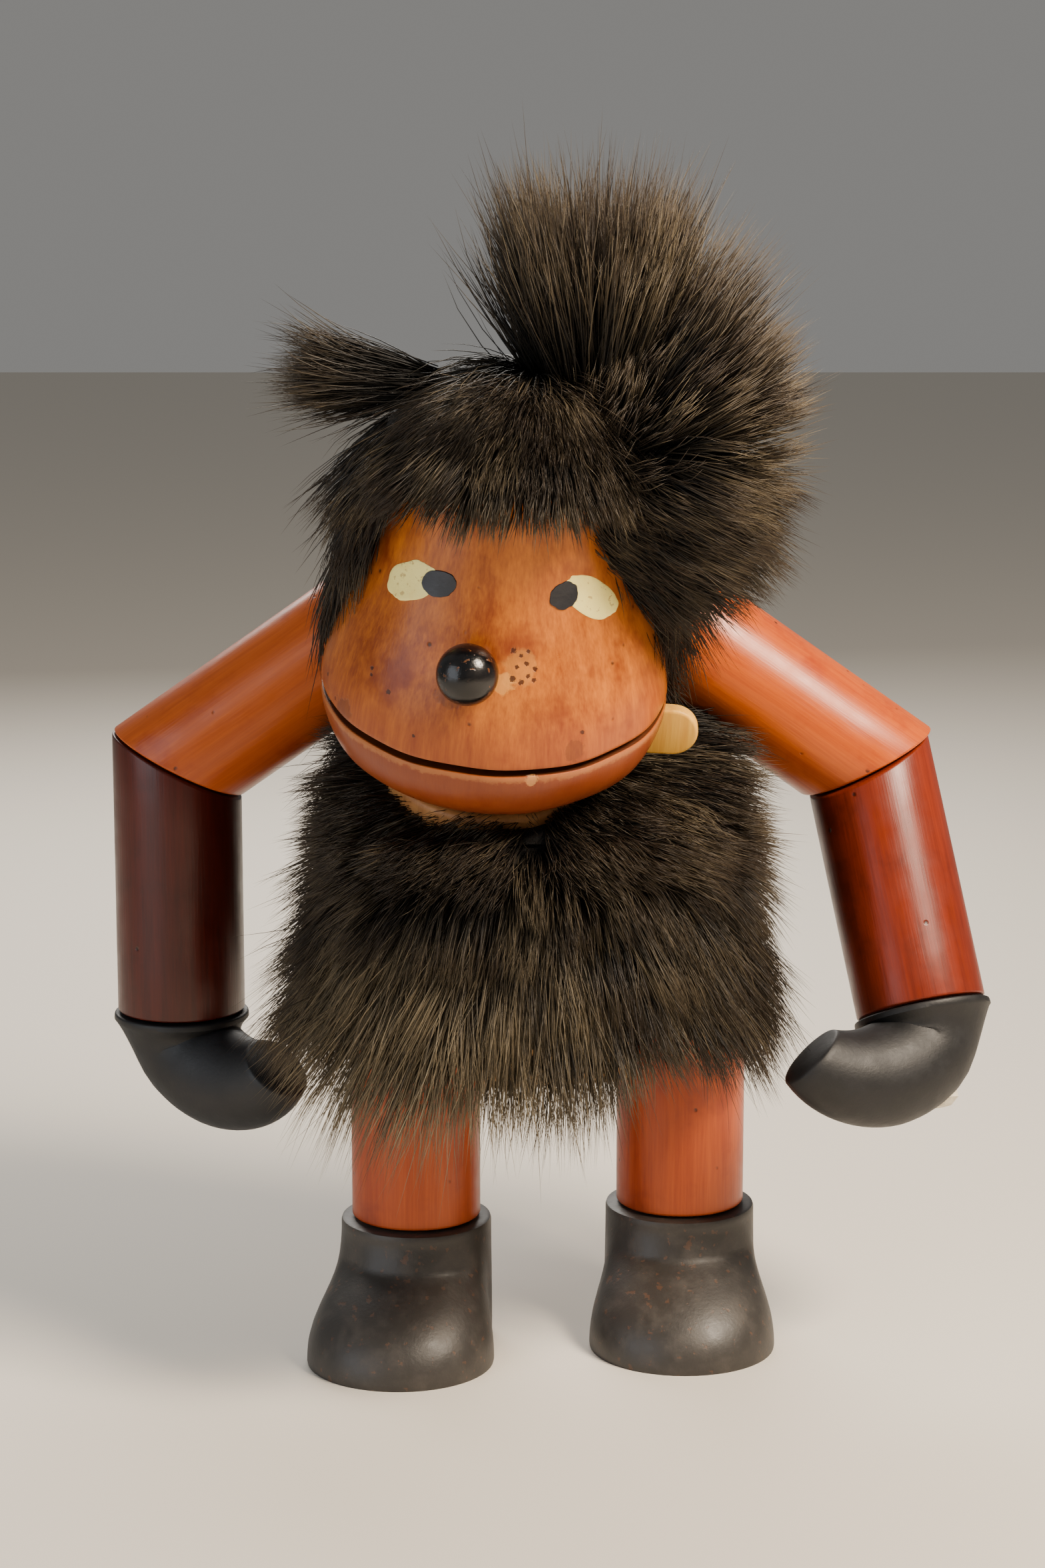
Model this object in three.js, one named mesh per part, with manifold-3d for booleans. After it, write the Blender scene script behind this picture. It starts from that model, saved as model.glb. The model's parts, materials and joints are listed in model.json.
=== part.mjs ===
// Jointed wooden monkey with a fur cap and pelt, standing on its shoes.
// Millimetres, +Z up, the face looks along -Y. The origin is on the ground under the middle of the figure.
import * as THREE from 'three';
import { mergeVertices } from 'three/addons/utils/BufferGeometryUtils.js';
import Module from 'manifold-3d';

const wasm = await Module();
wasm.setup();

// ---------- driving dimensions ----------
const LIMB_R = 8;              // every limb is cut from one 16 mm dowel
const GAP = 0.3;               // air between two pieces that touch
const CORD_R = 1.2;            // elastic cord
const BORE_R = 1.7;            // hole that the elastic runs in
const PIN_R = 1.5;             // steel hip pin
const PEG_R = 3;               // wooden neck and ankle pegs

const SHOULDER_X = 18;         // flat side of the trunk at the shoulder
const SHOULDER_Y = 8;
const SHOULDER_Z = 88.9;
const ARM_DROP = 35;           // degrees that an upper arm falls below the horizontal
const ELBOW_X = 43.2;
const FOREARM_L = 31.8;
const HAND_BEND_IN = 9.7;      // half width of the hook's oval centre line
const HAND_BEND_DOWN = 6.4;    // depth of the same oval below its start
const HAND_SWEEP = 155;        // degrees that the hook turns through
const HAND_TOP = -1;           // the bend starts just inside the cuff

const HIP = new THREE.Vector3(3.3, 0, 40);
const HIP_YAW = 9.6;           // degrees, the hip pin lies askew to the shoulders
const HIP_SPREAD = 16.8;       // trunk middle to leg middle, along the hip pin
const TONGUE_HALF = 9;         // half thickness of the trunk between the legs
const ANKLE_Z = 15.8;          // top face of a shoe
const SHOE_HALF_W = 11.8;
const SHOE_REACH = 21;         // leg middle to the front of the toe

const BARREL_R = 18.5;
const BARREL_X = 1.5;
const BARREL_Y = -6;
const BARREL_BOTTOM = 48.6;
const HUMP_FRONT = 4.4;
const HUMP_BACK = 15.4;
const HUMP_TOP = 97.2;

const KERF = new THREE.Vector3(-3.3, -16.5, 85.6);   // middle of the mouth cut, on the head's own axis
const HEAD_PITCH = 22;         // degrees that the head nods forward
const HEAD_ROLL = 3.4;
const KERF_H = 0.8;            // width of the saw cut
const KERF_DEPTH = 14.5;       // from the front of the face
const JAW_BOTTOM = -11;        // below the cut, along the head's axis
const JAW_FLAT_R = 10;
const CROWN = 36.6;            // above the cut
const NOSE_R = 3.5;
const NOSE_TURN = -9;          // degrees, the bead sits a little to one side
const NOSE_REACH = 19.75;      // middle of the bead from the head's axis
const NOSE_H = 12.4;           // middle of the bead above the cut
const EAR_H = -4;              // middle of the ear, beside the jaw
const COLLAR_H = 4;
const COLLAR_R = 12.5;

const X = new THREE.Vector3(1, 0, 0);
const Y = new THREE.Vector3(0, 1, 0);
const Z = new THREE.Vector3(0, 0, 1);
const rad = THREE.MathUtils.degToRad;
const at = (x, y, z) => new THREE.Vector3(x, y, z);

// ---------- solids ----------
function toSolid(geometry) {
  const bare = geometry.clone();
  bare.deleteAttribute('normal');
  bare.deleteAttribute('uv');
  const merged = mergeVertices(bare, 1e-4);
  return new wasm.Manifold(new wasm.Mesh({
    numProp: 3,
    vertProperties: new Float32Array(merged.attributes.position.array),
    triVerts: new Uint32Array(merged.index.array),
  }));
}

function toGeometry(solid) {
  const mesh = solid.getMesh();
  const geometry = new THREE.BufferGeometry();
  geometry.setAttribute('position', new THREE.BufferAttribute(new Float32Array(mesh.vertProperties), 3));
  geometry.setIndex(new THREE.BufferAttribute(new Uint32Array(mesh.triVerts), 1));
  geometry.computeVertexNormals();
  return geometry;
}

// A round bar from one point to another.
function bar(from, to, radius, sides = 32) {
  const run = to.clone().sub(from);
  const geometry = new THREE.CylinderGeometry(radius, radius, run.length(), sides);
  geometry.applyQuaternion(new THREE.Quaternion().setFromUnitVectors(Y, run.clone().normalize()));
  geometry.translate(...from.clone().lerp(to, 0.5).toArray());
  return toSolid(geometry);
}

function block(low, high) {
  const size = high.clone().sub(low);
  const geometry = new THREE.BoxGeometry(size.x, size.y, size.z);
  geometry.translate(...low.clone().lerp(high, 0.5).toArray());
  return toSolid(geometry);
}

function egg(centre, radii, sides = 20, rings = 12) {
  const geometry = new THREE.SphereGeometry(1, sides, rings);
  geometry.scale(radii.x, radii.y, radii.z);
  geometry.translate(centre.x, centre.y, centre.z);
  return toSolid(geometry);
}

// A body turned on the Z axis; the profile is a list of [radius, height] that starts and ends on the axis.
function turned(profile, sides = 32) {
  const geometry = new THREE.LatheGeometry(profile.map(([r, h]) => new THREE.Vector2(r, h)), sides);
  geometry.rotateX(Math.PI / 2);
  return toSolid(geometry);
}

// Cuts away everything on the side of the plane that its normal points to.
function trim(solid, point, normal) {
  const reach = 150;
  const cutter = new THREE.BoxGeometry(2 * reach, 2 * reach, 2 * reach);
  cutter.translate(0, 0, reach);
  cutter.applyQuaternion(new THREE.Quaternion().setFromUnitVectors(Z, normal.clone().normalize()));
  cutter.translate(point.x, point.y, point.z);
  return solid.subtract(toSolid(cutter));
}

const FINISHES = {
  head_wood: [0xb0602a, 0.4, 0],
  amber_wood: [0xc06a28, 0.4, 0],
  dark_wood: [0x7c3418, 0.4, 0],
  leg_wood: [0xa85426, 0.45, 0],
  pale_wood: [0xe2b35a, 0.6, 0],
  raw_wood: [0xc9a06a, 0.7, 0],
  black_paint: [0x15151a, 0.45, 0],
  shoe_paint: [0x35322f, 0.5, 0],
  bead: [0x0c0c0e, 0.15, 0],
  fur: [0x241e19, 0.95, 0],
  elastic: [0xd8d0bc, 0.9, 0],
  steel: [0x9a9a9c, 0.35, 0.9],
};

function piece(name, finish, solid) {
  const [color, roughness, metalness] = FINISHES[finish];
  const mesh = new THREE.Mesh(toGeometry(solid), new THREE.MeshStandardMaterial({ color, roughness, metalness }));
  mesh.name = name;
  return mesh;
}

// ---------- arms ----------
// Each arm frame has its origin at a joint. side is -1 for the arm at -X and 1 for the other.
function armDirections(side) {
  const upper = at(side * Math.cos(rad(ARM_DROP)), 0, -Math.sin(rad(ARM_DROP)));
  const lower = at(0, 0, -1);
  const mitre = upper.clone().add(lower).normalize();
  return { upper, lower, mitre };
}

function upperArm(side) {
  const { upper, mitre } = armDirections(side);
  const length = (ELBOW_X - SHOULDER_X) / Math.cos(rad(ARM_DROP));
  const elbow = upper.clone().multiplyScalar(length);
  const over = upper.clone().multiplyScalar(12);
  const outer = X.clone().multiplyScalar(side);
  let solid = bar(over.clone().negate(), elbow.clone().add(over), LIMB_R);
  solid = solid.subtract(bar(over.clone().negate(), elbow.clone().add(over), BORE_R, 16));
  solid = trim(solid, outer.clone().multiplyScalar(GAP), outer.clone().negate());
  return trim(solid, elbow.clone().addScaledVector(mitre, -GAP / 2), mitre);
}

function upperElastic(side) {
  const { upper } = armDirections(side);
  const length = (ELBOW_X - SHOULDER_X) / Math.cos(rad(ARM_DROP));
  return bar(upper.clone().multiplyScalar(1.6), upper.clone().multiplyScalar(length - 1), CORD_R, 12);
}

function forearm(side) {
  const { lower, mitre } = armDirections(side);
  const wrist = lower.clone().multiplyScalar(FOREARM_L - GAP / 2);
  const top = lower.clone().multiplyScalar(-12);
  const solid = bar(top, wrist, LIMB_R).subtract(bar(top, wrist.clone().addScaledVector(lower, 1), BORE_R, 16));
  return trim(solid, mitre.clone().multiplyScalar(GAP / 2), mitre.clone().negate());
}

class HookLine extends THREE.Curve {
  constructor(side) {
    super();
    this.side = side;
  }

  getPoint(t) {
    const turn = rad(HAND_SWEEP) * t;
    const inward = HAND_BEND_IN * (1 - Math.cos(turn));
    return at(-this.side * inward, 0, HAND_TOP - HAND_BEND_DOWN * Math.sin(turn));
  }
}

// The hook: a flattened bar bent inward, with a round cuff that meets the forearm.
function hand(side) {
  const section = new THREE.Shape().absellipse(0, 0, 5.2, 6.6, 0, 2 * Math.PI, false, 0.1);
  const hook = new THREE.ExtrudeGeometry(section, {
    extrudePath: new HookLine(side), steps: 15, curveSegments: 10, bevelEnabled: false,
  });
  const cuff = turned([[0, -5], [6.6, -5], [8.3, -1.6], [8.5, -GAP / 2], [0, -GAP / 2]], 28);
  const tunnel = bar(at(0, 0, 1), at(0, 0, -30), BORE_R, 16);
  const pocket = bar(at(0, 0, -8.6), at(0, 0, -30), 2.7, 16);
  const bend = trim(toSolid(hook), at(0, 0, -GAP / 2), Z);
  return bend.add(cuff).subtract(tunnel).subtract(pocket);
}

// The end of the elastic, with the knot that holds it in the hand.
function handElastic() {
  const knot = [[0, -12.2], [1.2, -12.2], [2.2, -11.4], [2.2, -9.2], [CORD_R, -8.9], [CORD_R, -0.8], [0, -0.8]];
  return turned(knot, 16);
}

function arm(side, elbowSwivel, wristSwivel) {
  const tag = side < 0 ? 'left' : 'right';
  const { upper, lower, mitre } = armDirections(side);
  const length = (ELBOW_X - SHOULDER_X) / Math.cos(rad(ARM_DROP));
  const shoulder = new THREE.Group();
  shoulder.position.set(side * SHOULDER_X, SHOULDER_Y, SHOULDER_Z);
  shoulder.add(piece(`upper_arm_${tag}`, 'amber_wood', upperArm(side)));
  shoulder.add(piece(`elastic_upper_arm_${tag}`, 'elastic', upperElastic(side)));

  const elbow = new THREE.Group();
  elbow.position.copy(upper).multiplyScalar(length);
  elbow.quaternion.setFromAxisAngle(mitre, rad(elbowSwivel));
  elbow.add(piece(`forearm_${tag}`, 'dark_wood', forearm(side)));
  elbow.add(piece(`elastic_forearm_${tag}`, 'elastic', bar(at(0, 0, -1), at(0, 0, -FOREARM_L), CORD_R, 12)));
  shoulder.add(elbow);

  const wrist = new THREE.Group();
  wrist.position.copy(lower).multiplyScalar(FOREARM_L);
  wrist.rotation.z = rad(wristSwivel);
  wrist.add(piece(`hand_${tag}`, 'black_paint', hand(side)));
  wrist.add(piece(`elastic_hand_${tag}`, 'elastic', handElastic()));
  elbow.add(wrist);
  return shoulder;
}

// ---------- legs ----------
// The leg frame has its origin on the ground under the leg, with the hip pin along X.
function leg(side) {
  const round = bar(at(-20, 0, HIP.z), at(20, 0, HIP.z), LIMB_R, 32);
  const below = block(at(-20, -20, 0), at(20, 20, HIP.z));
  let solid = bar(at(0, 0, ANKLE_Z + GAP), at(0, 0, HIP.z + LIMB_R), LIMB_R).intersect(round.add(below));
  const flat = HIP_SPREAD - TONGUE_HALF - GAP;
  solid = solid.subtract(block(at(-30, -20, 28), at(-flat, 20, 60)));
  solid = solid.subtract(bar(at(-30, 0, HIP.z), at(4.5, 0, HIP.z), PIN_R + GAP, 16));
  solid = solid.subtract(bar(at(0, 0, 0), at(0, 0, ANKLE_Z + 10), PEG_R + GAP, 20));
  return side > 0 ? solid : solid.mirror([1, 0, 0]);
}

// The shoe: a round collar under the leg and a wide, low toe with a flat sole.
function shoe() {
  const collar = turned([[0, 0], [9.7, 0], [10, 1], [9.6, 8], [9.3, ANKLE_Z - 0.8], [8.7, ANKLE_Z], [0, ANKLE_Z]]);
  const toeY = -(SHOE_REACH - 11.6);
  const toe = egg(at(0, toeY, 0.6), at(SHOE_HALF_W, 11.6, 9.2), 24, 12);
  const instep = egg(at(0, -4.2, 3), at(10.3, 10.5, 10.4), 20, 10);
  const outline = new THREE.Shape().absellipse(0, toeY, SHOE_HALF_W - 0.3, 11.4, 0, 2 * Math.PI, false, 0);
  const sole = new THREE.ExtrudeGeometry(outline, { depth: 2, bevelEnabled: false, curveSegments: 14 });
  let solid = collar.add(toe).add(instep).add(toSolid(sole));
  solid = trim(solid, at(0, 0, 0), at(0, 0, -1));
  solid = trim(solid, at(0, 0, ANKLE_Z), at(0, 0, 1));
  return solid.subtract(bar(at(0, 0, 5), at(0, 0, 20), PEG_R + GAP, 20));
}

function lowerLimb(side, shoeTurn) {
  const tag = side < 0 ? 'left' : 'right';
  const group = new THREE.Group();
  group.position.set(side * HIP_SPREAD, 0, 0);
  group.add(piece(`leg_${tag}`, 'leg_wood', leg(side)));
  const ankle = new THREE.Group();
  ankle.rotation.z = rad(shoeTurn - HIP_YAW);
  ankle.add(piece(`shoe_${tag}`, 'shoe_paint', shoe()));
  ankle.add(piece(`ankle_peg_${tag}`, 'raw_wood', bar(at(0, 0, 5.4), at(0, 0, ANKLE_Z + 9), PEG_R, 20)));
  group.add(ankle);
  return group;
}

function hips() {
  const group = new THREE.Group();
  group.position.set(HIP.x, HIP.y, 0);
  group.rotation.z = rad(HIP_YAW);
  group.add(lowerLimb(-1, -11));
  group.add(lowerLimb(1, 0));
  const pinEnd = HIP_SPREAD + 4;
  group.add(piece('hip_pin', 'steel', bar(at(-pinEnd, 0, HIP.z), at(pinEnd, 0, HIP.z), PIN_R, 16)));
  return group;
}

// ---------- head ----------
// The head frame has its origin in the middle of the mouth cut, +Z along the head's own axis.
function headPlace() {
  const group = new THREE.Group();
  group.position.copy(KERF);
  const turn = new THREE.Quaternion().setFromAxisAngle(X, rad(HEAD_PITCH));
  turn.premultiply(new THREE.Quaternion().setFromAxisAngle(Y, rad(HEAD_ROLL)));
  group.quaternion.copy(turn);
  return group;
}

// The pear's outline: a smooth curve through a few radii, from the jaw to the crown.
function pearProfile(grow) {
  const curve = new THREE.SplineCurve([
    [JAW_FLAT_R, JAW_BOTTOM], [14.8, -9], [18.6, -6], [20.1, -2.6], [20.2, 1], [19.6, 5], [18.2, 9.5], [16.3, 14.5],
    [14.6, 19.5], [13.4, 24.5], [12.3, 29], [10, 33], [5.6, 35.9], [0, CROWN],
  ].map(([r, h]) => new THREE.Vector2(r, h)));
  const points = curve.getPoints(20).map((p) => [Math.max(p.x + grow, 0), p.y]);
  points[points.length - 1] = [0, CROWN + grow];
  return [[0, JAW_BOTTOM - grow], [JAW_FLAT_R + grow, JAW_BOTTOM - grow], ...points.slice(1)];
}

function headBlock() {
  const kerf = block(at(-30, -30, -KERF_H / 2), at(30, KERF_DEPTH - 20, KERF_H / 2));
  const socket = bar(at(0, 0, -20), at(0, 0, -1.6), PEG_R + GAP, 20);
  const noseHole = bar(at(0, -30, 0), at(0, -14.5, 0), 1.3, 12);
  const noseRoom = egg(at(0, -NOSE_REACH, 0), at(NOSE_R + GAP, NOSE_R + GAP, NOSE_R + GAP), 22, 14)
    .add(noseHole).rotate([0, 0, NOSE_TURN]).translate(0, 0, NOSE_H);
  const solid = turned(pearProfile(0), 36).subtract(kerf).subtract(socket).subtract(noseRoom);
  return solid.subtract(block(at(17.5, -3.4, EAR_H - 3.4), at(29.5, -0.8, EAR_H + 3.4)));
}

// A ball on a short stem, which is glued into the face.
function nose() {
  const ball = egg(at(0, -NOSE_REACH, 0), at(NOSE_R, NOSE_R, NOSE_R), 22, 14);
  const stem = bar(at(0, -NOSE_REACH, 0), at(0, -15.2, 0), 1, 12);
  return ball.add(stem).rotate([0, 0, NOSE_TURN]).translate(0, 0, NOSE_H);
}

// A D-shaped tab let into a slot in the side of the jaw. The toy has one, on its +X side.
function ear() {
  const half = 3.1;
  const outline = new THREE.Shape();
  outline.moveTo(18, -half);
  outline.absarc(21.2, 0, half, -Math.PI / 2, Math.PI / 2, false);
  outline.lineTo(18, half);
  const tab = new THREE.ExtrudeGeometry(outline, { depth: 2, bevelEnabled: false, curveSegments: 12 });
  tab.rotateX(Math.PI / 2);
  tab.translate(0, -1.1, EAR_H);
  return toSolid(tab);
}

// The pelt cap: a low cap that leaves the face free, a crest, a tuft at -X and a fuller mass at +X.
function headFur() {
  const cap = egg(at(0, 0.5, 26), at(20.5, 19, 18.5), 20, 12);
  const nape = egg(at(0, 6, 15), at(18.5, 14, 17), 16, 10);
  const crest = bar(at(5.6, 1, 34), at(5.2, 10.5, 58), 8.4, 16);
  const tuft = bar(at(-8, 3, 37), at(-26, 4.5, 42), 3.6, 12);
  const mass = egg(at(15, 1, 30), at(14.5, 14, 15), 16, 10);
  let solid = cap.add(nape).add(crest).add(tuft).add(mass);
  solid = trim(solid, at(0, -12, 22.5), at(0, -0.6, -0.8));
  return solid.subtract(turned(pearProfile(GAP), 36));
}

function neckCollar() {
  const low = JAW_BOTTOM - GAP - COLLAR_H;
  const high = JAW_BOTTOM - GAP;
  const ring = turned([[0, low], [COLLAR_R - 0.8, low], [COLLAR_R, low + 1], [COLLAR_R - 0.4, high - 1],
    [COLLAR_R - 1.4, high], [0, high]], 32);
  return ring.subtract(bar(at(0, 0, low - 1), at(0, 0, high + 1), PEG_R + GAP, 20));
}

function head() {
  const group = headPlace();
  group.add(piece('head_block', 'head_wood', headBlock()));
  group.add(piece('nose_bead', 'bead', nose()));
  group.add(piece('ear_right', 'pale_wood', ear()));
  group.add(piece('head_fur', 'fur', headFur()));
  group.add(piece('neck_collar', 'raw_wood', neckCollar()));
  group.add(piece('neck_peg', 'raw_wood', bar(at(0, 0, -23), at(0, 0, -2), PEG_R, 20)));
  return group;
}

// ---------- trunk ----------
// Point and direction of the neck seat, which the collar rests on.
function neckSeat() {
  const place = headPlace();
  const axis = Z.clone().applyQuaternion(place.quaternion);
  const point = KERF.clone().addScaledVector(axis, JAW_BOTTOM - COLLAR_H - 2 * GAP);
  return { axis, point };
}

function hump(grow) {
  const half = SHOULDER_X + grow;
  const low = at(-half, HUMP_FRONT - grow, 60);
  const high = at(half, HUMP_BACK + grow, HUMP_TOP + grow - 6);
  const shaft = block(low, high);
  const depth = HUMP_BACK - HUMP_FRONT + 2 * grow;
  const crown = egg(at(0, (HUMP_FRONT + HUMP_BACK) / 2, HUMP_TOP - 6), at(half + 6, depth * 0.5, 6 + grow), 28, 14);
  const sides = block(at(-half, -30, 80), at(half, 40, 120));
  return shaft.add(crown.intersect(sides));
}

function trunk() {
  const { axis, point } = neckSeat();
  const bottom = BARREL_BOTTOM;
  const profile = [[0, bottom], [BARREL_R - 2, bottom], [BARREL_R, bottom + 2], [BARREL_R, 80], [0, 80]];
  const barrel = trim(turned(profile, 40).translate(BARREL_X, BARREL_Y, 0), point, axis);
  const tongueRound = bar(at(-TONGUE_HALF, 0, HIP.z), at(TONGUE_HALF, 0, HIP.z), LIMB_R, 28);
  const tongueTop = block(at(-TONGUE_HALF, -LIMB_R, HIP.z), at(TONGUE_HALF, LIMB_R, bottom + 1));
  const tongue = tongueRound.add(tongueTop).rotate([0, 0, HIP_YAW]).translate(HIP.x, HIP.y, 0);
  const pinHole = bar(at(-30, 0, HIP.z), at(30, 0, HIP.z), PIN_R + GAP, 16)
    .rotate([0, 0, HIP_YAW]).translate(HIP.x, HIP.y, 0);
  const cordHole = bar(at(-30, SHOULDER_Y, SHOULDER_Z), at(30, SHOULDER_Y, SHOULDER_Z), BORE_R, 16);
  const peg = bar(point.clone().addScaledVector(axis, -11), point.clone().addScaledVector(axis, 9), PEG_R + GAP, 20);
  return barrel.add(tongue).add(hump(0)).subtract(pinHole).subtract(cordHole).subtract(peg);
}

function shoulderElastic() {
  const reach = SHOULDER_X - 0.6;
  return bar(at(-reach, SHOULDER_Y, SHOULDER_Z), at(reach, SHOULDER_Y, SHOULDER_Z), CORD_R, 12);
}

// The pelt: a band round the barrel that runs up over the hump behind.
function bodyFur() {
  const { axis, point } = neckSeat();
  const low = BARREL_BOTTOM + 0.6;
  const band = turned([[0, low], [20.5, low], [23, low + 4], [23, 62], [21, 67], [0, 67]], 32)
    .translate(BARREL_X, BARREL_Y, 0);
  const grown = 4;
  const half = SHOULDER_X - 0.8;
  const back = hump(grown).intersect(block(at(-half, HUMP_FRONT, 40), at(half, 40, 110)));
  const core = turned([[0, 40], [BARREL_R + GAP, 40], [BARREL_R + GAP, 85], [0, 85]], 40)
    .translate(BARREL_X, BARREL_Y, 0);
  let solid = band.add(back).subtract(core).subtract(hump(GAP));
  const collarRoom = bar(point.clone(), point.clone().addScaledVector(axis, 30), COLLAR_R + 1, 32);
  solid = solid.subtract(collarRoom);
  return solid;
}

// ---------- the figure ----------
const figure = new THREE.Group();
figure.add(piece('trunk_core', 'raw_wood', trunk()));
figure.add(piece('body_fur', 'fur', bodyFur()));
figure.add(piece('elastic_shoulder', 'elastic', shoulderElastic()));
figure.add(arm(-1, 0, -45));
figure.add(arm(1, -57, -18));
figure.add(hips());
figure.add(head());

// The origin sits on the ground under the middle of the whole figure's box.
const box = new THREE.Box3().setFromObject(figure, true);
const middle = box.getCenter(new THREE.Vector3());
figure.position.set(-middle.x, -middle.y, -box.min.z);

export default figure;
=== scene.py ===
"""Jointed wooden monkey with a fur cap and a fur pelt, standing on its shoes.

Lengths in the classes are millimetres in the figure's own frame: the ground is z 0, the face looks
along -Y and x 0 is midway between the shoulders. Figure.at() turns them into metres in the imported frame.
"""

import json
import logging
import math
from dataclasses import dataclass, field
from enum import Enum
from typing import Callable, Sequence

import bmesh
import bpy
import numpy as np
from mathutils import Matrix, Vector

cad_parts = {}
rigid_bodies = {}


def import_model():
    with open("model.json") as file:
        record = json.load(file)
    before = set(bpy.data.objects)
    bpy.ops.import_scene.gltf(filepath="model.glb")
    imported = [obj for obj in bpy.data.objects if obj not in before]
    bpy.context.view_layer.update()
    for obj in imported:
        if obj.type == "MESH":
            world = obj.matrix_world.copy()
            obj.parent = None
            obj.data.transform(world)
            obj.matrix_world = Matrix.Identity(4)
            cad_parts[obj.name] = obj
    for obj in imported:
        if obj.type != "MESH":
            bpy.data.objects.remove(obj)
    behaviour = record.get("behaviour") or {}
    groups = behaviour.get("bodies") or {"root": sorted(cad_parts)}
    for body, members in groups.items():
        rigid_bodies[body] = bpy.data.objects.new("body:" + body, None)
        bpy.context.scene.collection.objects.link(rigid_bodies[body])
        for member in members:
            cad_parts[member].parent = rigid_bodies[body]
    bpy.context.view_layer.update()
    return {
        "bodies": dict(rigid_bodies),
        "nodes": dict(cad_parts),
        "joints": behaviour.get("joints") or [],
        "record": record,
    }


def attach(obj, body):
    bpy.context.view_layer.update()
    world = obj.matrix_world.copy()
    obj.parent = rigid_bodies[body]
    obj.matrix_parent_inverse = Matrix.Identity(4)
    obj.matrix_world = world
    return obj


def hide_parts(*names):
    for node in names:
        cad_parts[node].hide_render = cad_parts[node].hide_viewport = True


LOG = logging.getLogger("monkey")
MM = 0.001
Rows = np.ndarray


class Side(Enum):
    """Side of the figure: left is the limb at -X."""

    LEFT = -1
    RIGHT = 1

    @property
    def tag(self) -> str:
        """Name as the CAD nodes spell it."""
        return self.name.lower()


# ---------------------------------------------------------------- the shared frame


@dataclass
class Figure:
    """Where the figure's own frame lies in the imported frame.
    """

    frame: dict
    origin: Vector = field(init=False)

    SHOULDER_Y = 8.0
    SHOULDER_Z = 88.9

    def __post_init__(self) -> None:
        """Works out the origin from the two shoulder joints."""
        joints = {j["name"]: Vector(j["pos_m"]) for j in self.frame["joints"]}
        middle = (joints["shoulder_swing_left"] + joints["shoulder_swing_right"]) / 2
        self.origin = middle - Vector((0, self.SHOULDER_Y, self.SHOULDER_Z)) * MM

    def place(self) -> Matrix:
        """Returns the matrix from figure millimetres to packed metres."""
        return Matrix.Translation(self.origin) @ Matrix.Scale(MM, 4)

    def at(self, x: float, y: float, z: float) -> Vector:
        """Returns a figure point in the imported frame."""
        return self.place() @ Vector((x, y, z))


def turn(degrees: float, axis: str | Vector) -> Matrix:
    """Returns a 4x4 rotation."""
    return Matrix.Rotation(math.radians(degrees), 4, axis)


@dataclass(frozen=True)
class ArmPlaces:
    """Frames of one arm, built out from the shoulder along the same angles as the CAD arm."""

    side: Side

    DROP = 35.0
    SHOULDER_X = 18.0
    ELBOW_X = 43.2
    FOREARM = 31.8
    SWIVELS = {Side.LEFT: (0.0, -45.0), Side.RIGHT: (-57.0, -18.0)}

    @property
    def along(self) -> Vector:
        """Direction of the upper arm."""
        drop = math.radians(self.DROP)
        return Vector((self.side.value * math.cos(drop), 0, -math.sin(drop)))

    @property
    def mitre(self) -> Vector:
        """Normal of the slanting cut at the elbow."""
        return (self.along + Vector((0, 0, -1))).normalized()

    @property
    def upper_length(self) -> float:
        """Shoulder to elbow along the upper arm."""
        return (self.ELBOW_X - self.SHOULDER_X) / math.cos(math.radians(self.DROP))

    def shoulder(self) -> Matrix:
        """Returns the frame at the shoulder, its z along the upper arm."""
        turned = Vector((0, 0, 1)).rotation_difference(self.along).to_matrix().to_4x4()
        return self._shoulder_point() @ turned

    def elbow(self) -> Matrix:
        """Returns the frame at the elbow, with its z up the forearm."""
        here = self._shoulder_point() @ Matrix.Translation(self.along * self.upper_length)
        return here @ turn(self.SWIVELS[self.side][0], self.mitre)

    def wrist(self) -> Matrix:
        """Returns the frame at the wrist, with its z up the forearm."""
        down = Matrix.Translation((0, 0, -self.FOREARM))
        return self.elbow() @ down @ turn(self.SWIVELS[self.side][1], "Z")

    def _shoulder_point(self) -> Matrix:
        """Returns a move to the middle of this side's shoulder."""
        x = self.side.value * self.SHOULDER_X
        return Matrix.Translation((x, Figure.SHOULDER_Y, Figure.SHOULDER_Z))


@dataclass(frozen=True)
class LegPlaces:
    """Frames of one leg, whose hip pin lies askew."""

    side: Side

    HIP = (3.3, 0.0)
    YAW = 9.6
    SPREAD = 16.8
    SPLAY = {Side.LEFT: -11.0, Side.RIGHT: 0.0}

    def leg(self) -> Matrix:
        """Returns the frame on the ground below the leg's middle."""
        base = Matrix.Translation((*self.HIP, 0)) @ turn(self.YAW, "Z")
        return base @ Matrix.Translation((self.side.value * self.SPREAD, 0, 0))

    def shoe(self) -> Matrix:
        """Returns the leg's frame turned to the shoe's toe."""
        return self.leg() @ turn(self.SPLAY[self.side] - self.YAW, "Z")


def head_place() -> Matrix:
    """Returns the head's frame: z up its own axis, z 0 at the mouth cut, the face towards -y."""
    return Matrix.Translation((-3.3, -16.5, 85.6)) @ turn(3.4, "Y") @ turn(22, "X")


# ---------------------------------------------------------------- meshes


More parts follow.
